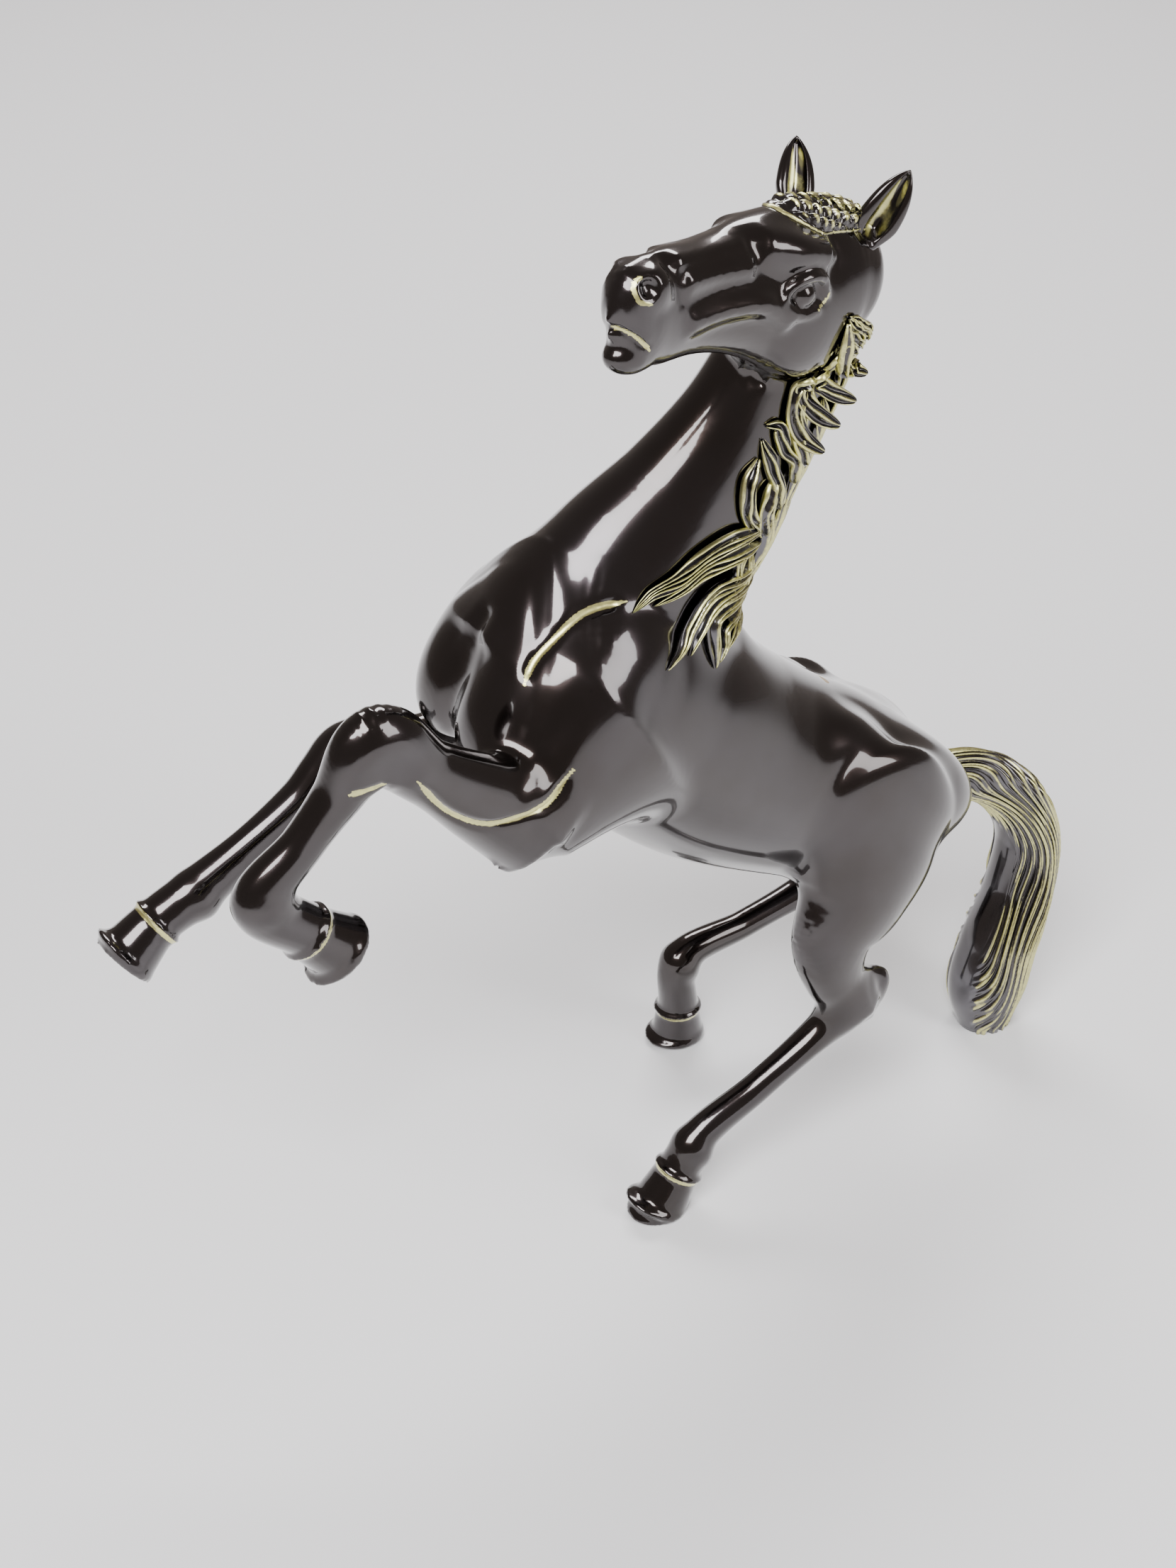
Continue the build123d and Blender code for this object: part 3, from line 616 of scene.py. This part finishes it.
def marked(points, normals):
    """The skin with its drawn lines cut in, and how much gold shows at each point."""
    gilt = np.zeros(len(points))
    depth = np.zeros(len(points))
    for knots, width, deep in gilt_lines:
        line = smooth_line(onto_skin(np.array(knots))[0], 0.5)[0]
        line = onto_skin(line, rounds=2)[0]
        low, high = line.min(0) - 4, line.max(0) + 4
        near = np.flatnonzero(((points > low) & (points < high)).all(1))
        gap = np.sqrt(((points[near][:, None] - line[None]) ** 2).sum(2))
        nearest = gap.argmin(1)
        gap = gap.min(1)
        along = nearest / (len(line) - 1)
        ends = smoothstep(0.0, 0.12, along) * smoothstep(1.0, 0.88, along)
        reach = width * (0.35 + 0.65 * ends)
        gilt[near] = np.maximum(gilt[near], 1 - smoothstep(reach * 0.7, reach * 1.3, gap))
        depth[near] = np.maximum(depth[near], deep * ends * np.exp(-((gap / (1.6 * width)) ** 2)))
    for name, leg in legs.items():
        low, high = leg.centre[leg.marks[8]:].min(0) - 12, leg.centre[leg.marks[8]:].max(0) + 12
        near = np.flatnonzero(((points > low) & (points < high)).all(1))
        s = leg.place(points[near])[0]
        step = leg.step.mean()
        ring = np.abs(s - leg.marks[coronet_station] - 1.5) * step
        gilt[near] = np.maximum(gilt[near], 1 - smoothstep(0.35, 0.95, ring))
        depth[near] = np.maximum(depth[near], 0.35 * np.exp(-((ring / 0.7) ** 2)))
    return points - normals * depth[:, None], gilt


# ------------------------------------------------------------------ the castings of the skin
def regions(centres):
    """The casting that each point of the skin belongs to."""
    names = []
    d_trunk, d_neck, d_head = (shape.distance(centres) for shape in (trunk, neck, head))
    s_trunk = trunk.place(centres)[0]
    joints = [trunk.marks[flank_joint], trunk.marks[girth_joint]]
    owner = np.searchsorted(joints, s_trunk, side="right")
    names += ["hindquarter_shell", "barrel_shell", "forehand_shell", "neck_shell", "head_casting"]
    body = d_trunk
    owner = np.where(d_neck < body, 3, owner)
    body = np.minimum(body, d_neck)
    owner = np.where(d_head < body, 4, owner)
    body = np.minimum(body, d_head)
    for name, leg in legs.items():
        d = leg.distance(centres)
        s = leg.place(centres)[0]
        part = np.where(s < leg.marks[knee_station], 0, np.where(s < leg.marks[coronet_station], 1, 2))
        owner = np.where(d < body, len(names) + part, owner)
        body = np.minimum(body, d)
        names += [f"{name}_upper", f"{name}_cannon", f"{name}_hoof"]
    return names, owner


def capped(points, quads, normals, gilt):
    """Triangles with each open rim closed by a fan, so that every casting is a closed mesh."""
    triangles = np.concatenate([quads[:, [0, 1, 2]], quads[:, [0, 2, 3]]])
    edges = np.concatenate([quads[:, [i, (i + 1) % 4]] for i in range(4)])
    code = edges[:, 0] * len(points) + edges[:, 1]
    back = edges[:, 1] * len(points) + edges[:, 0]
    rim = edges[~np.isin(code, back)]
    follow = {}
    for a, b in rim:
        follow.setdefault(int(a), []).append(int(b))
    fans, centres = [], []
    while follow:
        start = at = next(iter(follow))
        loop = []
        while at in follow:
            loop.append(at)
            after = follow[at].pop()
            if not follow[at]:
                del follow[at]
            at = after
            if at == start:
                break
        middle = len(points) + len(centres)
        centres.append(points[loop].mean(0))
        fans += [(loop[(i + 1) % len(loop)], loop[i], middle) for i in range(len(loop))]
    if not centres:
        return points, triangles, normals, gilt
    extra = len(centres)
    points = np.concatenate([points, centres])
    normals = np.concatenate([normals, np.tile(vec(0, 0, 1), (extra, 1))])
    return points, np.concatenate([triangles, np.array(fans)]), normals, np.append(gilt, np.zeros(extra))


def skin_castings():
    points, quads = skin_mesh()
    points = relaxed(points, quads, rounds=16, fine_rounds=2)
    points, gilt = marked(points, vertex_normals(points, quads))
    normals = vertex_normals(points, quads)
    names, owner = regions(points[quads].mean(1))
    pieces = []
    for i, name in enumerate(names):
        mine = quads[owner == i]
        used, local = np.unique(mine, return_inverse=True)
        piece = capped(points[used], local.reshape(mine.shape), normals[used], gilt[used])
        obj = mesh_object(name.replace("_shell", "") + "_skin", piece[0], piece[1], piece[2], gilt=piece[3])
        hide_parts(name)
        pieces.append(obj)
    return pieces


def sleeve(rows, around):
    """The numbering and the quads of a closed tube of points."""
    grid = np.arange(rows * around).reshape(rows, around)
    quads = np.stack([grid[:-1], np.roll(grid[:-1], -1, 1), np.roll(grid[1:], -1, 1), grid[1:]], -1)
    return grid, quads.reshape(-1, 4)


# ------------------------------------------------------------------ tail
def tail_piece():
    dock = trunk_point(-16.0, above=6.0)
    tip_side = -13.0
    table = [
        (1.00, -6.0, 0.62, 0.62),
        (1.00, 0.0, 0.66, 0.66),
        (1.00, 11.0, 0.70, 0.66),
        (0.95, 24.0, 0.76, 0.71),
        (0.845, 35.0, 0.86, 0.80),
        (0.69, 41.5, 0.95, 0.88),
        (0.48, 39.0, 1.05, 0.98),
        (0.27, 31.0, 1.12, 1.14),
        (0.11, 26.5, 1.06, 1.12),
        (0.0, tail_drop_back, 0.76, 0.80),
    ]
    knots = []
    for height, back, a, b in table:
        place = vec(dock[0] + back, tip_side * (1 - height), dock[2] * height)
        knots.append([*place, a * tail_half_width, b * tail_half_width])
    tube = Tube([k[:3] for k in knots], [k[3:] for k in knots], spacing=0.35, end=vec(0, 0, -1))
    rows, around = len(tube.centre), 400
    t = np.linspace(0, 1, rows)[:, None]
    turn = (np.arange(around) / around * 2 * math.pi)[None]
    flow = turn + 0.42 * np.sin(5.2 * t + turn) + 0.16 * np.sin(15 * t + 2 * turn) - 1.5 * t
    strands = 0.5 + 0.5 * np.cos(23 * flow + 1.5 * np.sin(9 * t + 3 * turn))
    fine = 0.5 + 0.5 * np.cos(57 * flow + 2.2 * np.sin(23 * t + 2 * turn))
    direction = np.cos(turn)[..., None] * tube.x[:, None] + np.sin(turn)[..., None] * tube.y[:, None]
    inner = smoothstep(0.70, 0.86, direction @ unit(vec(-1.0, 0.10, 0.1)))
    hair = 1 - inner
    rubbing = 0.88 + 0.22 * np.sin(11 * t + 3 * turn) * np.sin(5 * t - 2 * turn)
    ridge = (0.60 * strands + 0.46 * fine) * hair * rubbing
    swell = (0.9 * strands + 0.5 * fine - 0.6) * hair * smoothstep(0.0, 0.06, t)
    reach = tube.half[:, None, 0:1] * np.cos(turn)[..., None] * tube.x[:, None]
    reach = reach + tube.half[:, None, 1:2] * np.sin(turn)[..., None] * tube.y[:, None]
    points = tube.centre[:, None] + reach + direction * swell[..., None]
    points[..., 2] = np.maximum(points[..., 2], 0)
    points[-1, :, 2] = 0
    grid, quads = sleeve(rows, around)
    points = points.reshape(-1, 3)
    ends = np.array([tube.centre[0], points[-around:].mean(0)])
    triangles = [quads[:, [0, 1, 2]], quads[:, [0, 2, 3]]]
    first, last = grid[0], grid[-1]
    middle = len(points)
    triangles.append(np.stack([np.roll(first, -1), first, np.full(around, middle)], 1))
    triangles.append(np.stack([last, np.roll(last, -1), np.full(around, middle + 1)], 1))
    points = np.concatenate([points, ends])
    faces = np.concatenate(triangles)
    inside = np.cross(points[faces[0, 1]] - points[faces[0, 0]], points[faces[0, 2]] - points[faces[0, 0]])
    if inside @ (points[faces[0, 0]] - tube.centre[0]) < 0:
        faces = faces[:, ::-1]
    obj = mesh_object("tail_hair", points, faces, ridge=np.append(ridge.ravel(), [0, 0]))
    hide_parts("tail_casting")
    return obj


# ------------------------------------------------------------------ locks of hair
def neck_skin(share, turn):
    """A place on the neck: a share of the way up it, turned from its front, left below zero."""
    at = np.interp(share, [row[0] for row in neck_table], neck.marks)
    low = int(min(at, len(neck.centre) - 2))
    w = at - low
    centre, half, x, y = (v[low] * (1 - w) + v[low + 1] * w for v in (neck.centre, neck.half, neck.x, neck.y))
    t = math.radians(turn)
    return centre + x * half[0] * math.sin(t) + y * half[1] * math.cos(t)


def lock(points, lifts, width, thick, strands, seed=0.0, blunt=3.0):
    """One combed lock along a path on the skin: points, triangles and ridge heights."""
    path = smooth_line(np.hstack([points, np.reshape(lifts, (-1, 1))]), 0.6)[0]
    line, normal = onto_skin(path[:, :3], rounds=5)
    line = line + normal * path[:, 3:]
    tangent = unit(np.gradient(line, axis=0))
    normal = unit(normal - tangent * (normal * tangent).sum(1)[:, None])
    side = np.cross(tangent, normal)
    rows, across = len(line), 8 * strands + 1
    t = np.linspace(0, 1, rows)[:, None]
    grow = smoothstep(-0.12, 0.25, t) * (1 - t**blunt) ** 0.8 + 0.02
    u = np.linspace(-1, 1, across)[None]
    wander = 0.30 * np.sin(7 * t + seed) + 0.12 * np.sin(17 * t + 2 * seed + 2 * u)
    combed = math.pi * strands * (u + wander * (1 - u**2))
    comb = 0.5 + 0.5 * np.cos(combed)
    dome = np.sqrt(np.clip(1 - u**2, 0, 1))
    top = thick * grow**0.6 * (0.30 * dome + 0.90 * comb * dome**0.5)
    base = line[:, None] + side[:, None] * (u * width * grow)[..., None]
    upper = base + normal[:, None] * top[..., None]
    lower = base[:, ::-1] - normal[:, None] * (0.7 * dome * grow)[..., None]
    points = np.concatenate([upper, lower[:, 1:-1]], 1)
    shown = comb * (0.84 + 0.16 * np.cos(combed / 2 + seed + 3 * t))
    ridge = np.concatenate([shown, np.zeros((rows, across - 2))], 1)
    around = points.shape[1]
    grid, quads = sleeve(rows, around)
    fans = []
    middle = rows * around
    for rim, centre, flip in ((grid[0], middle, 1), (grid[-1], middle + 1, -1)):
        fan = np.stack([np.roll(rim, -1), rim, np.full(around, centre)], 1)
        fans.append(fan[:, ::flip])
    faces = np.concatenate([quads[:, [0, 1, 2]], quads[:, [0, 2, 3]], *fans])
    ends = np.array([line[0], line[-1]])
    return np.concatenate([points.reshape(-1, 3), ends]), faces[:, ::-1], np.append(ridge, [0, 0])


def joined(name, locks, node_name):
    points, faces, ridges, count = [], [], [], 0
    for p, f, r in locks:
        points.append(p)
        faces.append(f + count)
        ridges.append(r)
        count += len(p)
    obj = mesh_object(name, np.concatenate(points), np.concatenate(faces), ridge=np.concatenate(ridges))
    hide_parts(node_name)
    return obj


def neck_lock(rows, width, thick=1.5, strands=4, seed=0.0, blunt=3.0):
    """A lock through places on the neck: share of the way up, turn and lift off the skin."""
    points = np.array([neck_skin(share, turn) for share, turn, _ in rows])
    return lock(points, [lift for _, _, lift in rows], width, thick, strands, seed, blunt)


def crest_mane():
    locks = []
    for side in (left, right):
        rows = [
            (1.04, side * 148, 0), (0.84, side * 156, 0.3), (0.66, side * 158, 0.3), (0.50, side * 160, 0)
        ]
        locks.append(neck_lock(rows, 7.5, 1.3, 6, side))
        for i in range(10):
            top, sway = 1.02 - 0.044 * i, 6 * math.sin(2.3 * i + side)
            rows = [(top, side * (122 + sway), 0.2), (top - 0.05, side * (138 + sway), 0.8),
                    (top - 0.12, side * (152 + sway), 1.0), (top - 0.16, side * (170 - sway), 1.4)]
            locks.append(neck_lock(rows, 2.6, 1.3, 3, i + side))
        for i in range(6):  # short teeth behind the jaw
            top = 1.06 - 0.026 * i
            rows = [(top, side * 78, 0.3), (top - 0.008, side * 94, 1.2), (top - 0.024, side * 116, 2.8)]
            locks.append(neck_lock(rows, 1.6, 1.6, 2, 2 * i + side, blunt=10.0))
    flicks = [
        ([(0.99, 79, 0.3), (0.945, 86, 1.2), (0.91, 98, 2.4), (0.892, 116, 5.0), (0.888, 126, 7.5)], 2.1),
        ([(0.97, 78, 0.3), (0.90, 83, 1.2), (0.85, 93, 2.0), (0.826, 114, 4.6), (0.826, 126, 7.5)], 2.3),
        ([(0.93, 78, 0.3), (0.86, 81, 1.2), (0.80, 89, 1.8), (0.765, 112, 4.2), (0.762, 124, 6.6)], 2.4),
        ([(0.87, 80, 0.3), (0.80, 84, 1.2), (0.74, 91, 1.8), (0.700, 112, 4.0), (0.696, 122, 6.2)], 2.4),
        ([(0.82, 88, 0.3), (0.75, 95, 1.0), (0.69, 106, 1.8), (0.650, 122, 3.2)], 2.2),
        ([(0.700, 74, 0.2), (0.712, 82, 0.9), (0.690, 89, 1.0), (0.668, 97, 1.0), (0.655, 110, 1.4),
          (0.60, 126, 1.5)], 1.9),
        ([(0.665, 77, 0.2), (0.640, 86, 0.9), (0.612, 96, 1.0), (0.58, 110, 1.4), (0.53, 126, 1.0)], 1.9),
        ([(0.62, 82, 0.2), (0.56, 84, 0.9), (0.50, 96, 0.9), (0.465, 118, 0.6)], 2.1),
        ([(0.60, 104, 0.4), (0.55, 108, 1.0), (0.50, 116, 1.0), (0.46, 128, 0.6)], 2.4),
    ]
    for side in (left, right):
        for i, (rows, width) in enumerate(flicks):
            placed = [(share - 0.012 * (side > 0), side * turn, lift) for share, turn, lift in rows]
            locks.append(neck_lock(placed, width, 2.0, 2, i + side, blunt=12.0))
    return joined("crest_mane_locks", locks, "crest_mane")


def withers_mane():
    locks = []
    for side in (left, right):
        rows = [
            (0.60, side * 140, 0), (0.50, side * 150, 0.8), (0.38, side * 158, 0.8), (0.24, side * 166, 0)
        ]
        locks.append(neck_lock(rows, 6.0, 2.0, 6, side))
    hanging = [
        ([(0.475, 122, 0.6), (0.43, 98, 1.6), (0.35, 84, 1.4), (0.27, 77, 1.6), (0.22, 70, 1.2),
          (0.158, 67, 0.3)], 2.6, 4),
        ([(0.45, 128, 0.6), (0.40, 106, 1.8), (0.325, 90, 1.6), (0.27, 84, 1.6), (0.20, 75, 0.4)], 2.0, 3),
        ([(0.41, 142, 0.6), (0.36, 122, 1.6), (0.29, 104, 1.4), (0.20, 99, 1.6), (0.13, 97, 1.2),
          (0.06, 90, 0.3)], 2.1, 3),
        ([(0.39, 150, 0.6), (0.33, 128, 1.8), (0.275, 112, 1.6), (0.20, 108, 1.4), (0.12, 106, 0.3)], 1.6, 3),
        ([(0.36, 156, 0.6), (0.30, 134, 1.6), (0.23, 118, 1.4), (0.16, 123, 1.4), (0.085, 127, 0.3)], 1.7, 3),
        ([(0.33, 164, 0.6), (0.26, 146, 1.6), (0.21, 132, 1.4), (0.15, 133, 1.2), (0.10, 131, 0.3)], 1.5, 3),
        ([(0.30, 170, 0.6), (0.24, 158, 1.6), (0.18, 146, 1.3), (0.13, 140, 0.3)], 1.6, 3),
        ([(0.28, 178, 0.6), (0.22, 170, 1.4), (0.17, 156, 1.2), (0.125, 152, 0.3)], 1.5, 3),
        ([(0.44, 112, 0.4), (0.385, 112, 1.2), (0.34, 120, 1.0), (0.29, 124, 0.4)], 1.5, 3),
        ([(0.42, 124, 0.4), (0.36, 130, 1.2), (0.31, 136, 1.0), (0.26, 140, 0.4)], 1.8, 3),
        ([(0.52, 126, 0.4), (0.45, 134, 1.2), (0.38, 140, 1.0), (0.32, 144, 0.4)], 2.4, 3),
        ([(0.47, 160, 0.6), (0.38, 166, 1.4), (0.29, 172, 1.4), (0.20, 174, 0.3)], 2.4, 3),
    ]
    for side in (left, right):
        for i, (rows, width, strands) in enumerate(hanging):
            placed = [(share + 0.010 * (side > 0), side * turn, lift) for share, turn, lift in rows]
            locks.append(neck_lock(placed, width, 1.8, strands, 1.3 * i + side))
    return joined("withers_mane_locks", locks, "withers_mane")


def forelock():
    """A braided cap between the ears: ropes that cross the forehead, one behind the other."""
    rows, across = 150, 130
    v, u = np.meshgrid(np.linspace(-1, 1, rows), np.linspace(-1, 1, across), indexing="ij")
    out_from = (np.abs(u) ** 2.6 + np.abs(v) ** 2.6) ** (1 / 2.6)
    inside = 1 - smoothstep(0.62, 1.0, out_from)
    along = 0.165 + 0.255 * v - 0.10 * (u + 0.2) ** 2 * (v > 0) * v
    aside = 0.025 + 0.140 * u
    flat = poll + head_length * (along[..., None] * forward + aside[..., None] * leftward + 0.06 * upward)
    base, normal = onto_skin(flat.reshape(-1, 3), rounds=5)
    ropes = 5
    phase = (0.62 * v + 0.78 * u + 0.08 * np.sin(3 * u)) * ropes / 2
    rope = np.abs(np.cos(math.pi * phase))
    bars = 0.5 + 0.5 * np.cos(2 * math.pi * (5.6 * (0.78 * v - 0.62 * u) + 0.9 * (phase % 1.0)))
    edge = np.exp(-(((out_from - 0.91) / 0.05) ** 2))
    ridge = np.maximum(rope**0.7 * bars, 1.1 * edge)
    lift = inside * (0.8 + 0.9 * rope + 0.9 * ridge) + 0.5 * edge - 0.4 * (1 - inside)
    points = base + normal * lift.reshape(-1, 1)
    grid = np.arange(rows * across).reshape(rows, across)
    quads = np.stack([grid[:-1, :-1], grid[:-1, 1:], grid[1:, 1:], grid[1:, :-1]], -1).reshape(-1, 4)
    facing = np.cross(points[quads[0, 1]] - points[quads[0, 0]], points[quads[0, 2]] - points[quads[0, 0]])
    under = points - normal * 1.5
    lower = quads + rows * across
    rim = np.concatenate([grid[0], grid[1:, -1], grid[-1, -2::-1], grid[-2:0:-1, 0]])
    after = np.roll(rim, -1)
    wall = np.stack([rim, rim + rows * across, after + rows * across, after], 1)
    quads = np.concatenate([quads, lower[:, ::-1], wall])
    if facing @ normal[quads[0, 0]] < 0:
        quads = quads[:, ::-1]
    ridge = np.concatenate([(ridge * np.maximum(inside, edge)).ravel(), np.zeros(rows * across)])
    obj = mesh_object("forelock_braid", np.concatenate([points, under]), quads, ridge=ridge)
    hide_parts("forelock")
    return obj


# ------------------------------------------------------------------ ears
def ear(name, base, tip, facing, half_width):
    """A cupped leaf: a tube whose open side is pressed in past its middle."""
    base, tip = head_point(*base), head_point(*tip)
    grow = unit(tip - base)
    front = head_axes.T @ np.array(facing, float)
    front = unit(front - grow * (front @ grow))
    side = np.cross(grow, front)
    rows, around = 90, 96
    t = np.linspace(-0.15, 1, rows)[:, None]
    turn = (np.arange(around) / around * 2 * math.pi - math.pi)[None]
    shape = np.clip(t + 0.15, 0, 1)
    wide = half_width * (0.58 + 0.52 * smoothstep(0, 0.50, shape))
    wide = wide * (1 - 0.985 * np.clip(t, 0, 1) ** 3.4) ** 0.85  # narrows to the tip
    hollow = 1.62 * np.exp(-((turn / 0.95) ** 4)) * smoothstep(-0.02, 0.20, t) * smoothstep(1.02, 0.90, t)
    reach = 1 - hollow
    curl = 0.9 * (t - 0.1) ** 2
    centre = base + (tip - base) * t[..., None] - front * (curl * half_width * 0.8)[..., None]
    points = (
        centre
        + side * (wide * np.sin(turn) * np.maximum(reach, 0.62))[..., None]
        + front * (0.72 * wide * np.cos(turn) * reach)[..., None]
    )
    grid, quads = sleeve(rows, around)
    middle = rows * around
    faces = [quads[:, [0, 1, 2]], quads[:, [0, 2, 3]]]
    for rim, centre_at, flip in ((grid[0], middle, 1), (grid[-1], middle + 1, -1)):
        fan = np.stack([np.roll(rim, -1), rim, np.full(around, centre_at)], 1)
        faces.append(fan[:, ::flip])
    faces = np.concatenate(faces)
    points = points.reshape(-1, 3)
    ends = np.array([points[:around].mean(0), points[-around:].mean(0)])
    inner = np.exp(-((turn / 0.85) ** 4)) * smoothstep(0.02, 0.2, t) * smoothstep(0.98, 0.75, t)
    streak = inner * (0.50 + 0.30 * np.cos(6 * turn + 2 * t) + 0.30 * np.cos(11 * t + 4 * turn))
    points = np.concatenate([points, ends])
    normal = np.cross(points[faces[0, 1]] - points[faces[0, 0]], points[faces[0, 2]] - points[faces[0, 0]])
    if normal @ (points[faces[0, 0]] - ends[0]) < 0:
        faces = faces[:, ::-1]
    obj = mesh_object(name + "_shape", points, faces, gilt=np.append(streak.ravel(), [0, 0]))
    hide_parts(name)
    return obj


# ------------------------------------------------------------------ materials
def node(tree, kind, inputs=None, **settings):
    made = tree.nodes.new(kind)
    for key, value in settings.items():
        setattr(made, key, value)
    for key, value in (inputs or {}).items():
        if isinstance(value, bpy.types.NodeSocket):
            tree.links.new(value, made.inputs[key])
        else:
            made.inputs[key].default_value = value
    return made


def ramp(tree, factor, stops):
    made = node(tree, "ShaderNodeValToRGB", {"Fac": factor})
    marks = made.color_ramp.elements
    while len(marks) < len(stops):
        marks.new(0.5)
    for mark, (place, colour) in zip(marks, stops):
        mark.position = place
        mark.color = colour if len(colour) == 4 else (*colour, 1)
    return made.outputs[0]


def grey(level):
    return (level, level, level)


def patina(name, attribute, dark, tint, gold, gold_from, gold_to):
    """Bronze under a dark lacquer, rubbed back to gold where the attribute is high."""
    material = bpy.data.materials.new(name)
    material.use_nodes = True
    tree = material.node_tree
    tree.nodes.clear()
    where = node(tree, "ShaderNodeTexCoord").outputs["Object"]
    clouds = node(tree, "ShaderNodeTexNoise", {"Vector": where, "Scale": 28, "Detail": 4, "Roughness": 0.55})
    specks = node(tree, "ShaderNodeTexNoise", {"Vector": where, "Scale": 900, "Detail": 3, "Roughness": 0.6})
    body = ramp(tree, clouds.outputs["Fac"], [(0.35, dark), (0.68, tint)])
    mask = node(tree, "ShaderNodeAttribute", attribute_name=attribute).outputs["Fac"]
    worn = node(
        tree,
        "ShaderNodeMath",
        {0: specks.outputs["Fac"], 1: 0.30, 2: mask},
        operation="MULTIPLY_ADD",
    ).outputs[0]
    shown = ramp(tree, worn, [(gold_from, grey(0)), (gold_to, grey(1))])
    hue = ramp(tree, specks.outputs["Fac"], [(0.35, gold), (0.65, tuple(1.18 * c for c in gold))])
    colour = node(tree, "ShaderNodeMix", {"Factor": shown, "A": body, "B": hue}, data_type="RGBA")
    for key, value in (("A", body), ("B", hue)):
        for socket in colour.inputs:
            if socket.name == key and socket.type == "RGBA":
                tree.links.new(value, socket)
    rough = ramp(tree, shown, [(0, grey(0.20)), (1, grey(0.36))])
    height = node(tree, "ShaderNodeTexNoise", {"Vector": where, "Scale": 130, "Detail": 2})
    bump = node(
        tree,
        "ShaderNodeBump",
        {"Height": height.outputs["Fac"], "Strength": 0.05, "Distance": 0.0004},
    )
    shader = node(
        tree,
        "ShaderNodeBsdfPrincipled",
        {
            "Base Color": [s for s in colour.outputs if s.type == "RGBA"][0],
            "Metallic": 1.0,
            "Roughness": rough,
            "Normal": bump.outputs[0],
            "Coat Weight": 1.0,
            "Coat IOR": 1.55,
            "Coat Roughness": 0.06,
        },
    )
    node(tree, "ShaderNodeOutputMaterial", {"Surface": shader.outputs[0]})
    return material


skin_dark, skin_tint = (0.024, 0.017, 0.015), (0.040, 0.034, 0.037)
hair_dark, hair_tint = (0.030, 0.024, 0.022), (0.10, 0.095, 0.105)
old_gold = (0.60, 0.58, 0.24)
lacquer = patina("lacquered_patina", "gilt", skin_dark, skin_tint, old_gold, 0.45, 0.75)
rubbed = patina("rubbed_hair", "ridge", hair_dark, hair_tint, old_gold, 0.62, 0.84)

pieces = skin_castings()
for piece in pieces:
    piece.data.materials.append(lacquer)
ears = [
    ear("left_ear", (0.05, 0.115, -0.01), (0.01, 0.215, 0.215), (0.45, 0.85, 0.30), 4.9),
    ear("right_ear", (0.13, -0.110, 0.03), (0.06, -0.18, 0.250), (0.45, 0.85, 0.10), 4.6),
]
for piece in ears:
    piece.data.materials.append(lacquer)
hair = [tail_piece(), crest_mane(), withers_mane(), forelock()]
for piece in hair:
    piece.data.materials.append(rubbed)
for piece in pieces + ears + hair:
    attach(piece, "root")


# ------------------------------------------------------------------ bare bronze of the joinery
def bare_bronze():
    material = bpy.data.materials.new("bare_bronze")
    material.use_nodes = True
    tree = material.node_tree
    shader = tree.nodes["Principled BSDF"]
    where = node(tree, "ShaderNodeTexCoord").outputs["Object"]
    brushed = node(tree, "ShaderNodeTexNoise", {"Vector": where, "Scale": 700, "Detail": 3})
    colour = ramp(tree, brushed.outputs["Fac"], [(0.3, (0.50, 0.34, 0.17)), (0.7, (0.68, 0.50, 0.27))])
    tree.links.new(colour, shader.inputs["Base Color"])
    rough = ramp(tree, brushed.outputs["Fac"], [(0.3, grey(0.25)), (0.7, grey(0.45))])
    tree.links.new(rough, shader.inputs["Roughness"])
    shader.inputs["Metallic"].default_value = 1.0
    return material


bronze = bare_bronze()
slots = {part["node"]: part["material_slot"] for part in frame["record"]["subparts"]}
for name, obj in frame["nodes"].items():
    finish = {"bare_bronze": bronze, "rubbed_hair": rubbed}.get(slots[name], lacquer)
    for place in obj.material_slots:
        place.material = finish


# ------------------------------------------------------------------ floor, light and camera
def area_light(name, place, target, size, power, colour=(1, 1, 1)):
    light = bpy.data.lights.new(name, "AREA")
    light.shape = "RECTANGLE"
    light.size, light.size_y = size
    light.energy = power
    light.color = colour
    obj = bpy.data.objects.new(name, light)
    obj.location = place
    obj.rotation_euler = (Vector(target) - Vector(place)).to_track_quat("-Z", "Y").to_euler()
    bpy.context.scene.collection.objects.link(obj)
    return obj


FLOOR_SIZE = 6.0
LIGHTS_AIM = (0, 0, 0.15)


def studio():
    bpy.ops.mesh.primitive_plane_add(size=FLOOR_SIZE, location=(0, 0, 0))
    floor = bpy.context.object
    floor.name = "floor"
    material = bpy.data.materials.new("pale_floor")
    material.use_nodes = True
    material.node_tree.nodes["Principled BSDF"].inputs["Base Color"].default_value = (0.86, 0.86, 0.88, 1)
    material.node_tree.nodes["Principled BSDF"].inputs["Roughness"].default_value = 0.6
    floor.data.materials.append(material)
    area_light("key_light", (-0.9, -0.7, 1.5), LIGHTS_AIM, (1.0, 0.8), 44)
    area_light("fill_light", (0.8, -1.3, 1.0), LIGHTS_AIM, (0.6, 1.1), 17)
    area_light("back_light", (0.6, 1.2, 1.4), LIGHTS_AIM, (1.1, 0.5), 26)
    world = bpy.data.worlds.new("studio")
    world.use_nodes = True
    world.node_tree.nodes["Background"].inputs["Color"].default_value = (0.26, 0.22, 0.20, 1)
    world.node_tree.nodes["Background"].inputs["Strength"].default_value = 1.0
    bpy.context.scene.world = world


def camera():
    data = bpy.data.cameras.new("camera")
    data.sensor_width = 36
    data.lens = 48.8
    obj = bpy.data.objects.new("camera", data)
    obj.location = (-0.2442, -0.3909, 0.4629)
    obj.rotation_euler = (math.radians(54), 0, math.radians(-30))
    bpy.context.scene.collection.objects.link(obj)
    bpy.context.scene.camera = obj


studio()
camera()
